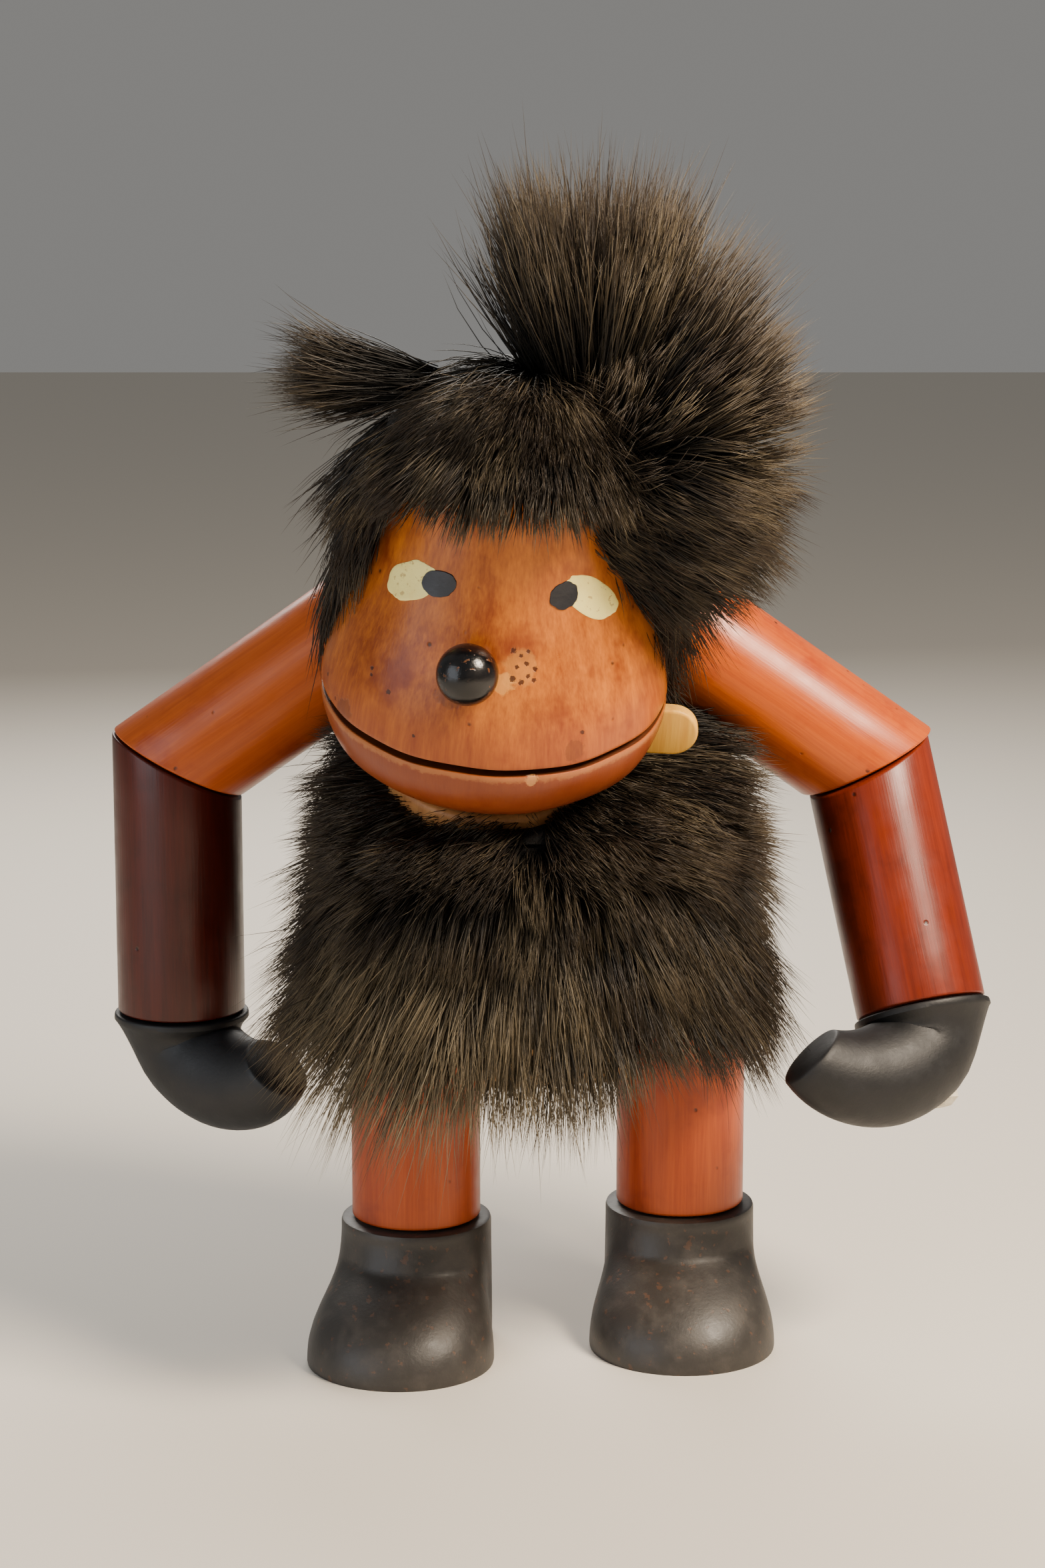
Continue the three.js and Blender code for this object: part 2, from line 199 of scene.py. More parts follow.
@dataclass
class Shell:
    """A closed surface lofted through rings of points, built with bmesh.

    Args:
        name: Piece name.
        rings: One array of points for each ring, all of the same count, in order.
        place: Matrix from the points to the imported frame.
    """

    name: str
    rings: Sequence[Rows]
    place: Matrix

    def build(self, sharp: Sequence[int] = (), bevel: float = 0.0) -> bpy.types.Object:
        """Makes the object.

        Args:
            sharp: Ring numbers whose edge loop is bevelled.
            bevel: Bevel width, in the rings' own units.

        Returns:
            The object, with a point attribute "local" holding each vertex before placing.
        """
        mesh = bmesh.new()
        loops = [[mesh.verts.new(tuple(p)) for p in ring] for ring in self.rings]
        count = len(loops[0])
        for low, high in zip(loops, loops[1:]):
            for i in range(count):
                j = (i + 1) % count
                mesh.faces.new((low[i], low[j], high[j], high[i]))
        for loop in (loops[0], loops[-1]):
            bmesh.ops.contextual_create(mesh, geom=edges_of(loop))
        if bevel:
            picked = [e for ring in sharp for e in edges_of(loops[ring])]
            bmesh.ops.bevel(
                mesh, geom=picked, offset=bevel, affect="EDGES", segments=4, profile=0.5, material=-1
            )
        return finish_mesh(self.name, mesh, self.place)


def edges_of(loop: Sequence[bmesh.types.BMVert]) -> list[bmesh.types.BMEdge]:
    """Returns the edges between neighbours of a closed loop of vertices."""
    pairs = zip(loop, list(loop[1:]) + [loop[0]])
    return [next(e for e in a.link_edges if e.other_vert(a) == b) for a, b in pairs]


def finish_mesh(name: str, mesh: bmesh.types.BMesh, place: Matrix, smooth: float = 40) -> bpy.types.Object:
    """Turns a bmesh into a linked, smooth-shaded object at the origin.

    Args:
        name: Piece name.
        mesh: The mesh, which is freed.
        place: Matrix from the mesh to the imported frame.
        smooth: Edges sharper than this angle, in degrees, stay sharp.

    Returns:
        The object.
    """
    bmesh.ops.recalc_face_normals(mesh, faces=mesh.faces)
    local = mesh.verts.layers.float_vector.new("local")
    for v in mesh.verts:
        v[local] = v.co
    bmesh.ops.transform(mesh, matrix=place, verts=mesh.verts)
    for face in mesh.faces:
        face.smooth = True
    for edge in mesh.edges:
        edge.smooth = edge.is_manifold and edge.calc_face_angle(0) < math.radians(smooth)
    data = bpy.data.meshes.new(name)
    mesh.to_mesh(data)
    mesh.free()
    made = bpy.data.objects.new(name, data)
    bpy.context.scene.collection.objects.link(made)
    return made


def circle(radius: float, z: float, sides: int = 64) -> Rows:
    """Returns a level ring of points."""
    angle = np.linspace(0, 2 * np.pi, sides, endpoint=False)
    return np.stack([radius * np.cos(angle), radius * np.sin(angle), np.full(sides, z)], 1)


def lathe(
    name: str, profile: Sequence[tuple[float, float]], place: Matrix, sides: int = 64
) -> bpy.types.Object:
    """Turns a profile about z by bmesh's spin.

    Args:
        name: Piece name.
        profile: (radius, z) points from the axis back to the axis.
        place: Matrix from the profile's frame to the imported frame.
        sides: Steps of the spin.

    Returns:
        The object.
    """
    mesh = bmesh.new()
    line = [mesh.verts.new((r, 0, z)) for r, z in profile]
    edges = [mesh.edges.new(pair) for pair in zip(line, line[1:])]
    bmesh.ops.spin(
        mesh, geom=line + edges, cent=(0, 0, 0), axis=(0, 0, 1), angle=2 * math.pi, steps=sides,
        use_merge=True,
    )
    bmesh.ops.remove_doubles(mesh, verts=mesh.verts, dist=1e-4)
    return finish_mesh(name, mesh, place)


def rounded(
    points: Sequence[tuple[float, float]], radius: float, steps: int = 4
) -> list[tuple[float, float]]:
    """Returns a profile with its inner corners rounded by small quadratic curves."""
    made = [points[0]]
    for a, b, c in zip(points, points[1:], points[2:]):
        before, here, after = (np.array(p, float) for p in (a, b, c))
        for t in np.linspace(0, 1, steps):
            start = here + (before - here) * min(radius / max(np.linalg.norm(before - here), 1e-6), 0.45)
            end = here + (after - here) * min(radius / max(np.linalg.norm(after - here), 1e-6), 0.45)
            made.append(tuple((1 - t) ** 2 * start + 2 * t * (1 - t) * here + t * t * end))
    return made + [points[-1]]


def smooth_curve(knots: Sequence[tuple[float, float]], steps: int = 8) -> Rows:
    """Returns a Catmull-Rom curve through the knots, as an array of points."""
    p = np.array(knots, float)
    p = np.vstack([2 * p[0] - p[1], p, 2 * p[-1] - p[-2]])
    made = []
    for a, b, c, d in zip(p, p[1:], p[2:], p[3:]):
        for t in np.linspace(0, 1, steps, endpoint=False):
            made.append(0.5 * (2 * b + (c - a) * t + (2 * a - 5 * b + 4 * c - d) * t**2
                               + (3 * b - a - 3 * c + d) * t**3))
    return np.array(made + [p[-2]])


class Noise:
    """Smooth random values over space, from a few random plane waves.

    Args:
        seed: Seed of the random numbers.
        size: Typical distance over which the value changes, in the units of the points.
        waves: Number of waves.
    """

    def __init__(self, seed: int, size: float, waves: int = 14) -> None:
        """Draws the waves."""
        rng = np.random.default_rng(seed)
        self.k = rng.normal(size=(waves, 3)) * (2 * np.pi / size) * 0.55
        self.phase = rng.uniform(0, 2 * np.pi, waves)

    def __call__(self, points: Rows) -> Rows:
        """Returns one value for each point, about -1 to 1."""
        waves = np.sin(np.asarray(points, float) @ self.k.T + self.phase)
        return waves.sum(-1) / math.sqrt(len(self.phase) / 2) * 0.6


# ---------------------------------------------------------------- finishes


def rgb(red: int, green: int, blue: int) -> tuple[float, float, float, float]:
    """Returns an sRGB colour as the linear colour a shader takes."""

    def linear(c: float) -> float:
        """Returns one channel as linear light."""
        return c / 12.92 if c <= 0.04045 else ((c + 0.055) / 1.055) ** 2.4

    return (linear(red / 255), linear(green / 255), linear(blue / 255), 1.0)


class Space(Enum):
    """Coordinates that a finish is drawn in: the piece's own "local" attribute, or Object coordinates."""

    PIECE = "piece"
    OBJECT = "object"


class Graph:
    """Short ways to add nodes to a shader tree.

    Args:
        tree: The node tree that is added to.
    """

    def __init__(self, tree: bpy.types.NodeTree) -> None:
        """Keeps the tree."""
        self.tree = tree

    def node(self, kind: str, inputs: dict | None = None, **settings) -> bpy.types.Node:
        """Adds a node. Inputs are constants or sockets to link from."""
        made = self.tree.nodes.new(kind)
        for key, value in settings.items():
            setattr(made, key, value)
        for key, value in (inputs or {}).items():
            self.feed(made.inputs[key], value)
        return made

    def feed(self, socket: bpy.types.NodeSocket, value) -> None:
        """Sets a socket's constant, or links a socket to it."""
        if isinstance(value, bpy.types.NodeSocket):
            self.tree.links.new(value, socket)
        else:
            socket.default_value = value

    def math(self, operation: str, a, b=0.0, clamp: bool = False) -> bpy.types.NodeSocket:
        """Returns the output of a math node."""
        made = self.node("ShaderNodeMath", {0: a, 1: b}, operation=operation, use_clamp=clamp)
        return made.outputs[0]

    def noise(self, vector, scale: float, detail: float = 3, rough: float = 0.55) -> bpy.types.NodeSocket:
        """Returns a noise value, about 0.5 in the middle."""
        inputs = {"Vector": vector, "Scale": scale, "Detail": detail, "Roughness": rough}
        return self.node("ShaderNodeTexNoise", inputs).outputs["Fac"]

    def ramp(self, value, stops: Sequence[tuple[float, tuple]]) -> bpy.types.NodeSocket:
        """Returns a colour picked by value from stops of (position, colour)."""
        made = self.node("ShaderNodeValToRGB", {"Fac": value})
        elements = made.color_ramp.elements
        while len(elements) < len(stops):
            elements.new(0.5)
        for element, (position, colour) in zip(elements, stops):
            element.position = position
            element.color = colour
        return made.outputs["Color"]

    def mix(self, factor, a, b, blend: str = "MIX") -> bpy.types.NodeSocket:
        """Returns a blend of two colours."""
        made = self.node("ShaderNodeMix", data_type="RGBA", blend_type=blend)
        self.feed(made.inputs["Factor"], factor)
        self.feed(made.inputs[6], a)
        self.feed(made.inputs[7], b)
        return made.outputs[2]

    def stretched(self, vector, scale: tuple[float, float, float]) -> bpy.types.NodeSocket:
        """Returns the vector scaled along each axis."""
        return self.node("ShaderNodeMapping", {"Vector": vector, "Scale": scale}).outputs[0]

    def local(self, space: "Space") -> bpy.types.NodeSocket:
        """Returns coordinates in millimetres."""
        if space is Space.PIECE:
            return self.node("ShaderNodeAttribute", attribute_name="local").outputs["Vector"]
        metres = self.node("ShaderNodeTexCoord").outputs["Object"]
        return self.stretched(metres, (1 / MM, 1 / MM, 1 / MM))

    def step(self, value, low: float, high: float) -> bpy.types.NodeSocket:
        """Returns 0 below low and 1 above high, smooth between."""
        inputs = {"Value": value, "From Min": low, "From Max": high}
        return self.node("ShaderNodeMapRange", inputs, interpolation_type="SMOOTHSTEP").outputs[0]


def group(name: str, inputs: dict[str, str], outputs: dict[str, str], fill: Callable) -> bpy.types.NodeTree:
    """Makes a shader node group once, with named sockets.

    Args:
        name: Name of the group.
        inputs: Socket name to socket type.
        outputs: Socket name to socket type.
        fill: Called with (graph, input sockets); returns {output name: socket}.

    Returns:
        The group.
    """
    if name in bpy.data.node_groups:
        return bpy.data.node_groups[name]
    tree = bpy.data.node_groups.new(name, "ShaderNodeTree")
    for key, kind in inputs.items():
        tree.interface.new_socket(name=key, in_out="INPUT", socket_type=kind)
    for key, kind in outputs.items():
        tree.interface.new_socket(name=key, in_out="OUTPUT", socket_type=kind)
    graph = Graph(tree)
    source = tree.nodes.new("NodeGroupInput")
    sink = tree.nodes.new("NodeGroupOutput")
    for key, socket in fill(graph, source.outputs).items():
        tree.links.new(socket, sink.inputs[key])
    return tree


VECTOR = "NodeSocketVector"
COLOUR = "NodeSocketColor"
VALUE = "NodeSocketFloat"


def grain_group() -> bpy.types.NodeTree:
    """Returns the group that draws wood grain running along z."""

    def fill(g: Graph, i) -> dict:
        """Adds the nodes of the grain."""
        bent = g.noise(g.stretched(i["Vector"], (0.09, 0.09, 0.03)), 1.0, 2)
        streak = g.noise(g.stretched(i["Vector"], (0.75, 0.75, 0.035)), 1.0, 4, 0.6)
        fine = g.noise(g.stretched(i["Vector"], (3.4, 3.4, 0.16)), 1.0, 3, 0.6)
        tone = g.math("ADD", g.math("MULTIPLY", streak, 0.6), g.math("MULTIPLY", bent, 0.55))
        tone = g.math("ADD", tone, g.math("MULTIPLY", g.math("SUBTRACT", fine, 0.5), 0.45))
        spread = g.math("MULTIPLY", g.math("SUBTRACT", tone, 0.575), i["Contrast"])
        factor = g.math("ADD", spread, 0.5, clamp=True)
        return {"Color": g.mix(factor, i["Dark"], i["Light"]), "Height": fine}

    inputs = {"Vector": VECTOR, "Dark": COLOUR, "Light": COLOUR, "Contrast": VALUE}
    return group("WoodGrain", inputs, {"Color": COLOUR, "Height": VALUE}, fill)


def wear_group() -> bpy.types.NodeTree:
    """Returns the group that adds stains, small dark pits and rubbed spots."""

    def fill(g: Graph, i) -> dict:
        """Adds the nodes of the wear."""
        stain = g.step(g.noise(i["Vector"], 0.11, 4, 0.65), 0.5, 0.72)
        stained = g.mix(g.math("MULTIPLY", stain, i["Stain"]), i["Color"], i["Stain Color"])
        cell = g.node("ShaderNodeTexVoronoi", {"Vector": i["Vector"], "Scale": 0.42})
        near = g.math("SUBTRACT", 1.0, g.step(cell.outputs["Distance"], 0.05, 0.16))
        chosen = g.step(g.noise(i["Vector"], 0.23, 2), 0.56, 0.62)
        pit = g.math("MULTIPLY", g.math("MULTIPLY", near, chosen), i["Pits"])
        dark = g.mix(pit, stained, rgb(38, 16, 8))
        rub = g.step(g.noise(i["Vector"], 0.7, 5, 0.7), 0.62, 0.72)
        rubbed = g.mix(g.math("MULTIPLY", rub, i["Rub"]), dark, i["Rub Color"])
        return {"Color": rubbed, "Pit": pit}

    inputs = {"Vector": VECTOR, "Color": COLOUR, "Stain": VALUE, "Stain Color": COLOUR, "Pits": VALUE,
              "Rub": VALUE, "Rub Color": COLOUR}
    return group("WornSurface", inputs, {"Color": COLOUR, "Pit": VALUE}, fill)


@dataclass(frozen=True)
class WoodFinish:
    """Stained and varnished wood.

    Args:
        name: Material name.
        dark: Colour of the dark grain.
        light: Colour of the light grain.
        stain: Colour of the stained patches.
        gloss: Roughness of the varnish.
        contrast: Strength of the grain.
        stains: Share of stain, 0 to 1.
        pits: Depth of colour in the pits, 0 to 1.
        rub: Share of rubbed spots, 0 to 1.
        space: Coordinates that the grain follows.
    """

    name: str
    dark: tuple
    light: tuple
    stain: tuple
    gloss: float = 0.38
    contrast: float = 1.9
    stains: float = 0.55
    pits: float = 0.9
    rub: float = 0.12
    space: Space = Space.PIECE

    def build(self, extra: Callable | None = None) -> bpy.types.Material:
        """Makes the material.

        Args:
            extra: Called with (graph, colour socket, height socket), returns both with more on them.

        Returns:
            The material.
        """
        material, g, shader = principled(self.name)
        here = g.local(self.space)
        grain = g.node("ShaderNodeGroup", node_tree=grain_group())
        for key, value in {"Vector": here, "Dark": self.dark, "Light": self.light}.items():
            g.feed(grain.inputs[key], value)
        g.feed(grain.inputs["Contrast"], self.contrast)
        wear = g.node("ShaderNodeGroup", node_tree=wear_group())
        values = {"Vector": here, "Color": grain.outputs["Color"], "Stain": self.stains,
                  "Stain Color": self.stain, "Pits": self.pits, "Rub": self.rub, "Rub Color": self.light}
        for key, value in values.items():
            g.feed(wear.inputs[key], value)
        colour = wear.outputs["Color"]
        height = g.math("SUBTRACT", g.math("MULTIPLY", grain.outputs["Height"], 0.3), wear.outputs["Pit"])
        if extra:
            colour, height = extra(g, colour, height)
        bump = g.node("ShaderNodeBump", {"Height": height, "Strength": 0.35, "Distance": 0.0002})
        rough = g.math("ADD", g.math("MULTIPLY", g.noise(here, 0.35, 4), 0.28), self.gloss - 0.14)
        feed_all(g, shader, {"Base Color": colour, "Roughness": rough, "Normal": bump.outputs[0],
                             "Coat Weight": 0.08, "Coat Roughness": 0.28, "Specular IOR Level": 0.38})
        return material


def principled(name: str) -> tuple[bpy.types.Material, Graph, bpy.types.Node]:
    """Returns a new material, its graph and its Principled shader."""
    material = bpy.data.materials.new(name)
    material.use_nodes = True
    return material, Graph(material.node_tree), material.node_tree.nodes["Principled BSDF"]


def feed_all(g: Graph, shader: bpy.types.Node, values: dict) -> None:
    """Feeds several inputs of a shader."""
    for key, value in values.items():
        g.feed(shader.inputs[key], value)


@dataclass(frozen=True)
class PaintFinish:
    """Paint over wood, with scuffs and chips.

    Args:
        name: Material name.
        paint: Colour of the paint.
        scuff: Colour where it is rubbed.
        gloss: Roughness.
        scuffs: Share of scuffs, 0 to 1.
        chips: Share of chips that show the wood, 0 to 1.
        size: Scale of the scuffs, one over millimetres.
        space: Coordinates that the scuffs follow.
    """

    name: str
    paint: tuple
    scuff: tuple
    gloss: float = 0.4
    scuffs: float = 0.5
    chips: float = 0.0
    size: float = 0.25
    space: Space = Space.PIECE

    def build(self) -> bpy.types.Material:
        """Returns the material."""
        material, g, shader = principled(self.name)
        here = g.local(self.space)
        cloud = g.step(g.noise(here, self.size, 5, 0.65), 0.42, 0.75)
        colour = g.mix(g.math("MULTIPLY", cloud, self.scuffs), self.paint, self.scuff)
        chip = g.math("MULTIPLY", g.step(g.noise(here, self.size * 3.2, 4, 0.6), 0.61, 0.66), self.chips)
        colour = g.mix(chip, colour, rgb(150, 92, 48))
        fine = g.noise(here, 2.2, 4, 0.6)
        height = g.math("SUBTRACT", g.math("MULTIPLY", fine, 0.5), chip)
        bump = g.node("ShaderNodeBump", {"Height": height, "Strength": 0.3, "Distance": 0.0002})
        rough = g.math("ADD", g.math("MULTIPLY", g.noise(here, 0.5, 4), 0.3), self.gloss - 0.15)
        feed_all(g, shader, {"Base Color": colour, "Roughness": rough, "Normal": bump.outputs[0]})
        return material


AMBER = WoodFinish("amber_dowel", rgb(164, 62, 8), rgb(206, 98, 16), rgb(140, 34, 8), gloss=0.34)
# The next finish is the forearm wood of WARM made darker: painted shade on the left forearm.
DARK_SHADED_FOREARM = WoodFinish("dark_dowel", rgb(50, 12, 6), rgb(88, 24, 9), rgb(40, 8, 4), gloss=0.36)
WARM = WoodFinish("warm_dowel", rgb(84, 22, 6), rgb(132, 42, 10), rgb(62, 14, 4), gloss=0.36)
LEG = WoodFinish("leg_dowel", rgb(140, 46, 10), rgb(190, 84, 18), rgb(112, 28, 8), gloss=0.4)
FACE = WoodFinish(
    "face_wood", rgb(138, 62, 12), rgb(200, 112, 26), rgb(116, 40, 8), gloss=0.34, contrast=2.5, stains=0.85
)
PALE = WoodFinish("pale_wood", rgb(210, 142, 40), rgb(250, 198, 84), rgb(170, 100, 36), gloss=0.5, rub=0.3)
RAW = WoodFinish("raw_wood", rgb(160, 100, 52), rgb(206, 146, 84), rgb(120, 70, 36), gloss=0.55)
PLAIN = WoodFinish(
    "inner_wood", rgb(158, 112, 66), rgb(206, 164, 108), rgb(130, 90, 50), space=Space.OBJECT, gloss=0.6
)
HAND_PAINT = PaintFinish("black_hand_paint", rgb(11, 12, 15), rgb(30, 31, 36), gloss=0.55, scuffs=0.5)
SHOE_PAINT = PaintFinish(
    "worn_shoe_paint", rgb(48, 45, 42), rgb(78, 72, 66), gloss=0.48, scuffs=0.55, chips=0.15
)
EYE_PAINT = PaintFinish(
    "cream_eye_paint", rgb(255, 240, 150), rgb(236, 198, 92), gloss=0.45, scuffs=0.3, chips=0.5, size=0.42
)
PUPIL_PAINT = PaintFinish("slate_pupil_paint", rgb(22, 23, 30), rgb(42, 43, 52), gloss=0.4, size=0.6)
BEAD = PaintFinish("glossy_bead", rgb(8, 8, 10), rgb(34, 30, 28), gloss=0.2, scuffs=0.6, chips=0.3, size=0.45)
CORD = PaintFinish(
    "elastic_cord", rgb(216, 208, 188), rgb(180, 168, 140), gloss=0.9, size=1.5, space=Space.OBJECT
)


def steel_finish() -> bpy.types.Material:
    """Returns bare steel with fine drawing marks."""
    material, g, shader = principled("drawn_steel")
    here = g.local(Space.OBJECT)
    rough = g.math("ADD", g.math("MULTIPLY", g.noise(g.stretched(here, (0.2, 5, 5)), 1.0, 3), 0.3), 0.2)
    colour = g.mix(g.noise(here, 0.4, 3), rgb(140, 140, 142), rgb(176, 176, 178))
    feed_all(g, shader, {"Base Color": colour, "Roughness": rough, "Metallic": 1.0})
    return material


# ---------------------------------------------------------------- wooden limbs


@dataclass
class Workshop:
    """Adds finished pieces to the shared frame.

    Args:
        figure: The figure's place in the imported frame.
    """

    figure: Figure
    finishes: dict = field(default_factory=dict)

    def finish(self, kind: WoodFinish | PaintFinish) -> bpy.types.Material:
        """Returns the material of a finish, made once."""
        if kind.name not in self.finishes:
            self.finishes[kind.name] = kind.build()
        return self.finishes[kind.name]

    def add(self, piece: bpy.types.Object, body: str, material, slot: str, *nodes: str) -> bpy.types.Object:
        """Gives a piece its body and material, and hides the CAD nodes it stands for."""
        if not isinstance(material, bpy.types.Material):
            material = self.finish(material)
        piece.data.materials.clear()
        piece.data.materials.append(material)
        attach(piece, body)
        if nodes:
            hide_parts(*nodes)
        return piece

    def place(self, frame: Matrix) -> Matrix:
        """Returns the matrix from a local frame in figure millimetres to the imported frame."""
        return self.figure.place() @ frame


def cut_ring(radius: float, point: Vector, normal: Vector, sides: int = 64) -> Rows:
    """Returns the ring where a round bar along z is cut by a plane."""
    ring = circle(radius, 0, sides)
    level = normal.dot(point) - ring[:, 0] * normal.x - ring[:, 1] * normal.y
    ring[:, 2] = level / normal.z
    return ring


def between(low: Rows, high: Rows, steps: int) -> list[Rows]:
    """Returns rings from low to high, both included."""
    return [low + (high - low) * t for t in np.linspace(0, 1, steps)]


@dataclass
class Arm:
    """One arm: an upper dowel, a forearm dowel and a hooked hand.

    Args:
        shop: Where the pieces go.
        side: Which arm.
    """

    shop: Workshop
    side: Side

    RADIUS = 8.0
    GAP = 0.3
    SOFT_EDGE = 0.35
    BEND_IN = 9.7
    BEND_DOWN = 6.4
    SWEEP = 155.0

    def build(self) -> None:
        """Adds the three wooden pieces."""
        places = ArmPlaces(self.side)
        tag = self.side.tag
        # The left forearm's darker finish is painted shade.
        lower = WARM if self.side is Side.RIGHT else DARK_SHADED_FOREARM
        self.shop.add(self._upper(places), f"upper_arm_{tag}", AMBER, "amber_wood", f"upper_arm_{tag}")
        self.shop.add(self._forearm(places), f"forearm_{tag}", lower, "dark_wood", f"forearm_{tag}")
        self.shop.add(self._hand(places), f"hand_{tag}", HAND_PAINT, "black_paint", f"hand_{tag}")

    def _upper(self, places: ArmPlaces) -> bpy.types.Object:
        """Returns the upper arm, cut square at the shoulder and mitred at the elbow."""
        frame = places.shoulder()
        back = frame.to_3x3().inverted()
        outward = back @ Vector((self.side.value, 0, 0))
        mitre = back @ places.mitre
        start = cut_ring(self.RADIUS, outward * self.GAP, outward)
        end = cut_ring(self.RADIUS, Vector((0, 0, places.upper_length)) - mitre * self.GAP / 2, mitre)
        rings = between(start, end, 6)
        shell = Shell(f"arm_upper_{self.side.tag}", rings, self.shop.place(frame))
        return shell.build((0, -1), self.SOFT_EDGE)

    def _forearm(self, places: ArmPlaces) -> bpy.types.Object:
        """Returns the forearm, mitred at the elbow and square at the wrist."""
        mitre = places.mitre
        start = circle(self.RADIUS, -places.FOREARM + self.GAP / 2)
        end = cut_ring(self.RADIUS, mitre * self.GAP / 2, mitre)
        rings = between(start, end, 6)
        frame = self.shop.place(places.elbow())
        return Shell(f"arm_fore_{self.side.tag}", rings, frame).build((0, -1), self.SOFT_EDGE)

    def _hand(self, places: ArmPlaces) -> bpy.types.Object:
        """Returns the hook hand with its cuff."""
        rings = [circle(8.45, -0.15), circle(8.5, -0.9)]
        for t in np.linspace(0, 1, 30):
            rings.append(self._hook_ring(t * 0.97, 1.0))
        for end in np.linspace(0.1, 1, 7)[1:]:
            rings.append(self._hook_ring(0.97 + 0.03 * end, math.sqrt(max(1 - end**2, 0.002))))
        shell = Shell(f"hook_hand_{self.side.tag}", rings, self.shop.place(places.wrist()))
        return shell.build((0,), 0.25)

    def _hook_ring(self, t: float, close: float) -> Rows:
        """Returns the section at t along the hook, closed up by a factor near its tip."""
        angle = math.radians(self.SWEEP) * t
        ease = math.exp(-t * 6.5)
        deep = (6.3 + 1.9 * ease - 4.6 * max(t - 0.5, 0) ** 1.3) * close
        wide = (6.2 + 2.1 * ease - 4.4 * max(t - 0.4, 0) ** 1.2) * close
        inward = -self.side.value
        across, down = self.BEND_IN * math.sin(angle), self.BEND_DOWN * math.cos(angle)
        middle = np.array([
            inward * self.BEND_IN * (1 - math.cos(angle)), 0, -1.2 - self.BEND_DOWN * math.sin(angle)
        ])
        soft = min(t * 4, 1.0)
        outer = unit(np.array([-inward * (down + (1 - soft) * 30), 0, -across]))
        ring = circle(1, 0)
        signed = ring[:, 0] * -inward
        points = middle + np.outer(signed, outer) * deep + np.outer(ring[:, 1], (0, 1, 0)) * wide
        under = np.hypot(points[:, 0], points[:, 1]) < 9
        points[under, 2] = np.minimum(points[under, 2], -0.2)
        return points


@dataclass
class Leg:
    """One leg dowel and its shoe.

    Args:
        shop: Where the pieces go.
        side: Which leg.
    """

    shop: Workshop
    side: Side

    RADIUS = 8.0
    HIP_Z = 40.0
    ANKLE_Z = 15.8
    TOE_MIDDLE = 9.4
    TOE_HALF = (11.8, 11.6)
    COLLAR_R = 9.35

    def build(self) -> None:
        """Adds the dowel and the shoe."""
        tag = self.side.tag
        places = LegPlaces(self.side)
        self.shop.add(self._dowel(places), f"leg_{tag}", LEG, "leg_wood", f"leg_{tag}")
        self.shop.add(self._shoe(places), f"shoe_{tag}", SHOE_PAINT, "shoe_paint", f"shoe_{tag}")

    def _dowel(self, places: LegPlaces) -> bpy.types.Object:
        """Returns the leg, rounded over at the hip."""
        rings = between(circle(self.RADIUS, self.ANKLE_Z + 0.3), circle(self.RADIUS, self.HIP_Z - 0.4), 6)
        for share in (1.0, 0.9, 0.5, 0.05):
            ring = circle(self.RADIUS, self.HIP_Z)
            ring[:, 2] += np.sqrt(np.maximum(self.RADIUS**2 - ring[:, 1] ** 2, 0))
            ring[:, 0] *= share
            rings.append(ring)
        shell = Shell(f"leg_dowel_{self.side.tag}", rings, self.shop.place(places.leg()))
        return shell.build((0,), 0.35)

    def _reach(self, angle: Rows) -> Rows:
        """Returns how far the sole reaches from the leg's middle, for each angle about it."""
        x, y = np.cos(angle), np.sin(angle)
        wide, long = self.TOE_HALF
        a = (x / wide) ** 2 + (y / long) ** 2
        b = 2 * y * self.TOE_MIDDLE / long**2
        c = (self.TOE_MIDDLE / long) ** 2 - 1
        toe = (-b + np.sqrt(b * b - 4 * a * c)) / (2 * a)
        heel = np.full_like(angle, 9.8)
        return (toe**10 + heel**10) ** 0.1

    def _shoe(self, places: LegPlaces) -> bpy.types.Object:
        """Returns the shoe: a bulbous toe below a round collar."""
        sides = 96
        angle = np.linspace(0, 2 * np.pi, sides, endpoint=False)
        reach = self._reach(angle) - 0.35
        toe = np.clip((reach - 9.6) / 6, 0, 1)
        rows = [(reach * 0.3, 0 * reach), (reach * 0.95, 0 * reach), (reach - 0.1, 0 * reach)]
        for z in np.linspace(0.35, 15.3, 34):
            bulb = max(1 - (z / 11.2) ** 2.6, 0) ** 1.35
            slope = max(1 - (z / 14.5) ** 2, 0) ** 1.4
            share = toe * (0.7 * bulb + 0.3 * slope) + (1 - toe) * slope
            rows.append((self.COLLAR_R + (reach - self.COLLAR_R) * share, np.full(sides, z)))
        rows += [(np.full(sides, self.COLLAR_R - 0.12), np.full(sides, 15.65))]
        rows += [(np.full(sides, self.COLLAR_R - 0.5), np.full(sides, self.ANKLE_Z))]
        rows.append((np.full(sides, 3.0), np.full(sides, self.ANKLE_Z)))
        rings = [np.stack([r * np.cos(angle), r * np.sin(angle), z + 0 * angle], 1) for r, z in rows]
        return Shell(f"shoe_body_{self.side.tag}", rings, self.shop.place(places.shoe())).build()


# ---------------------------------------------------------------- head


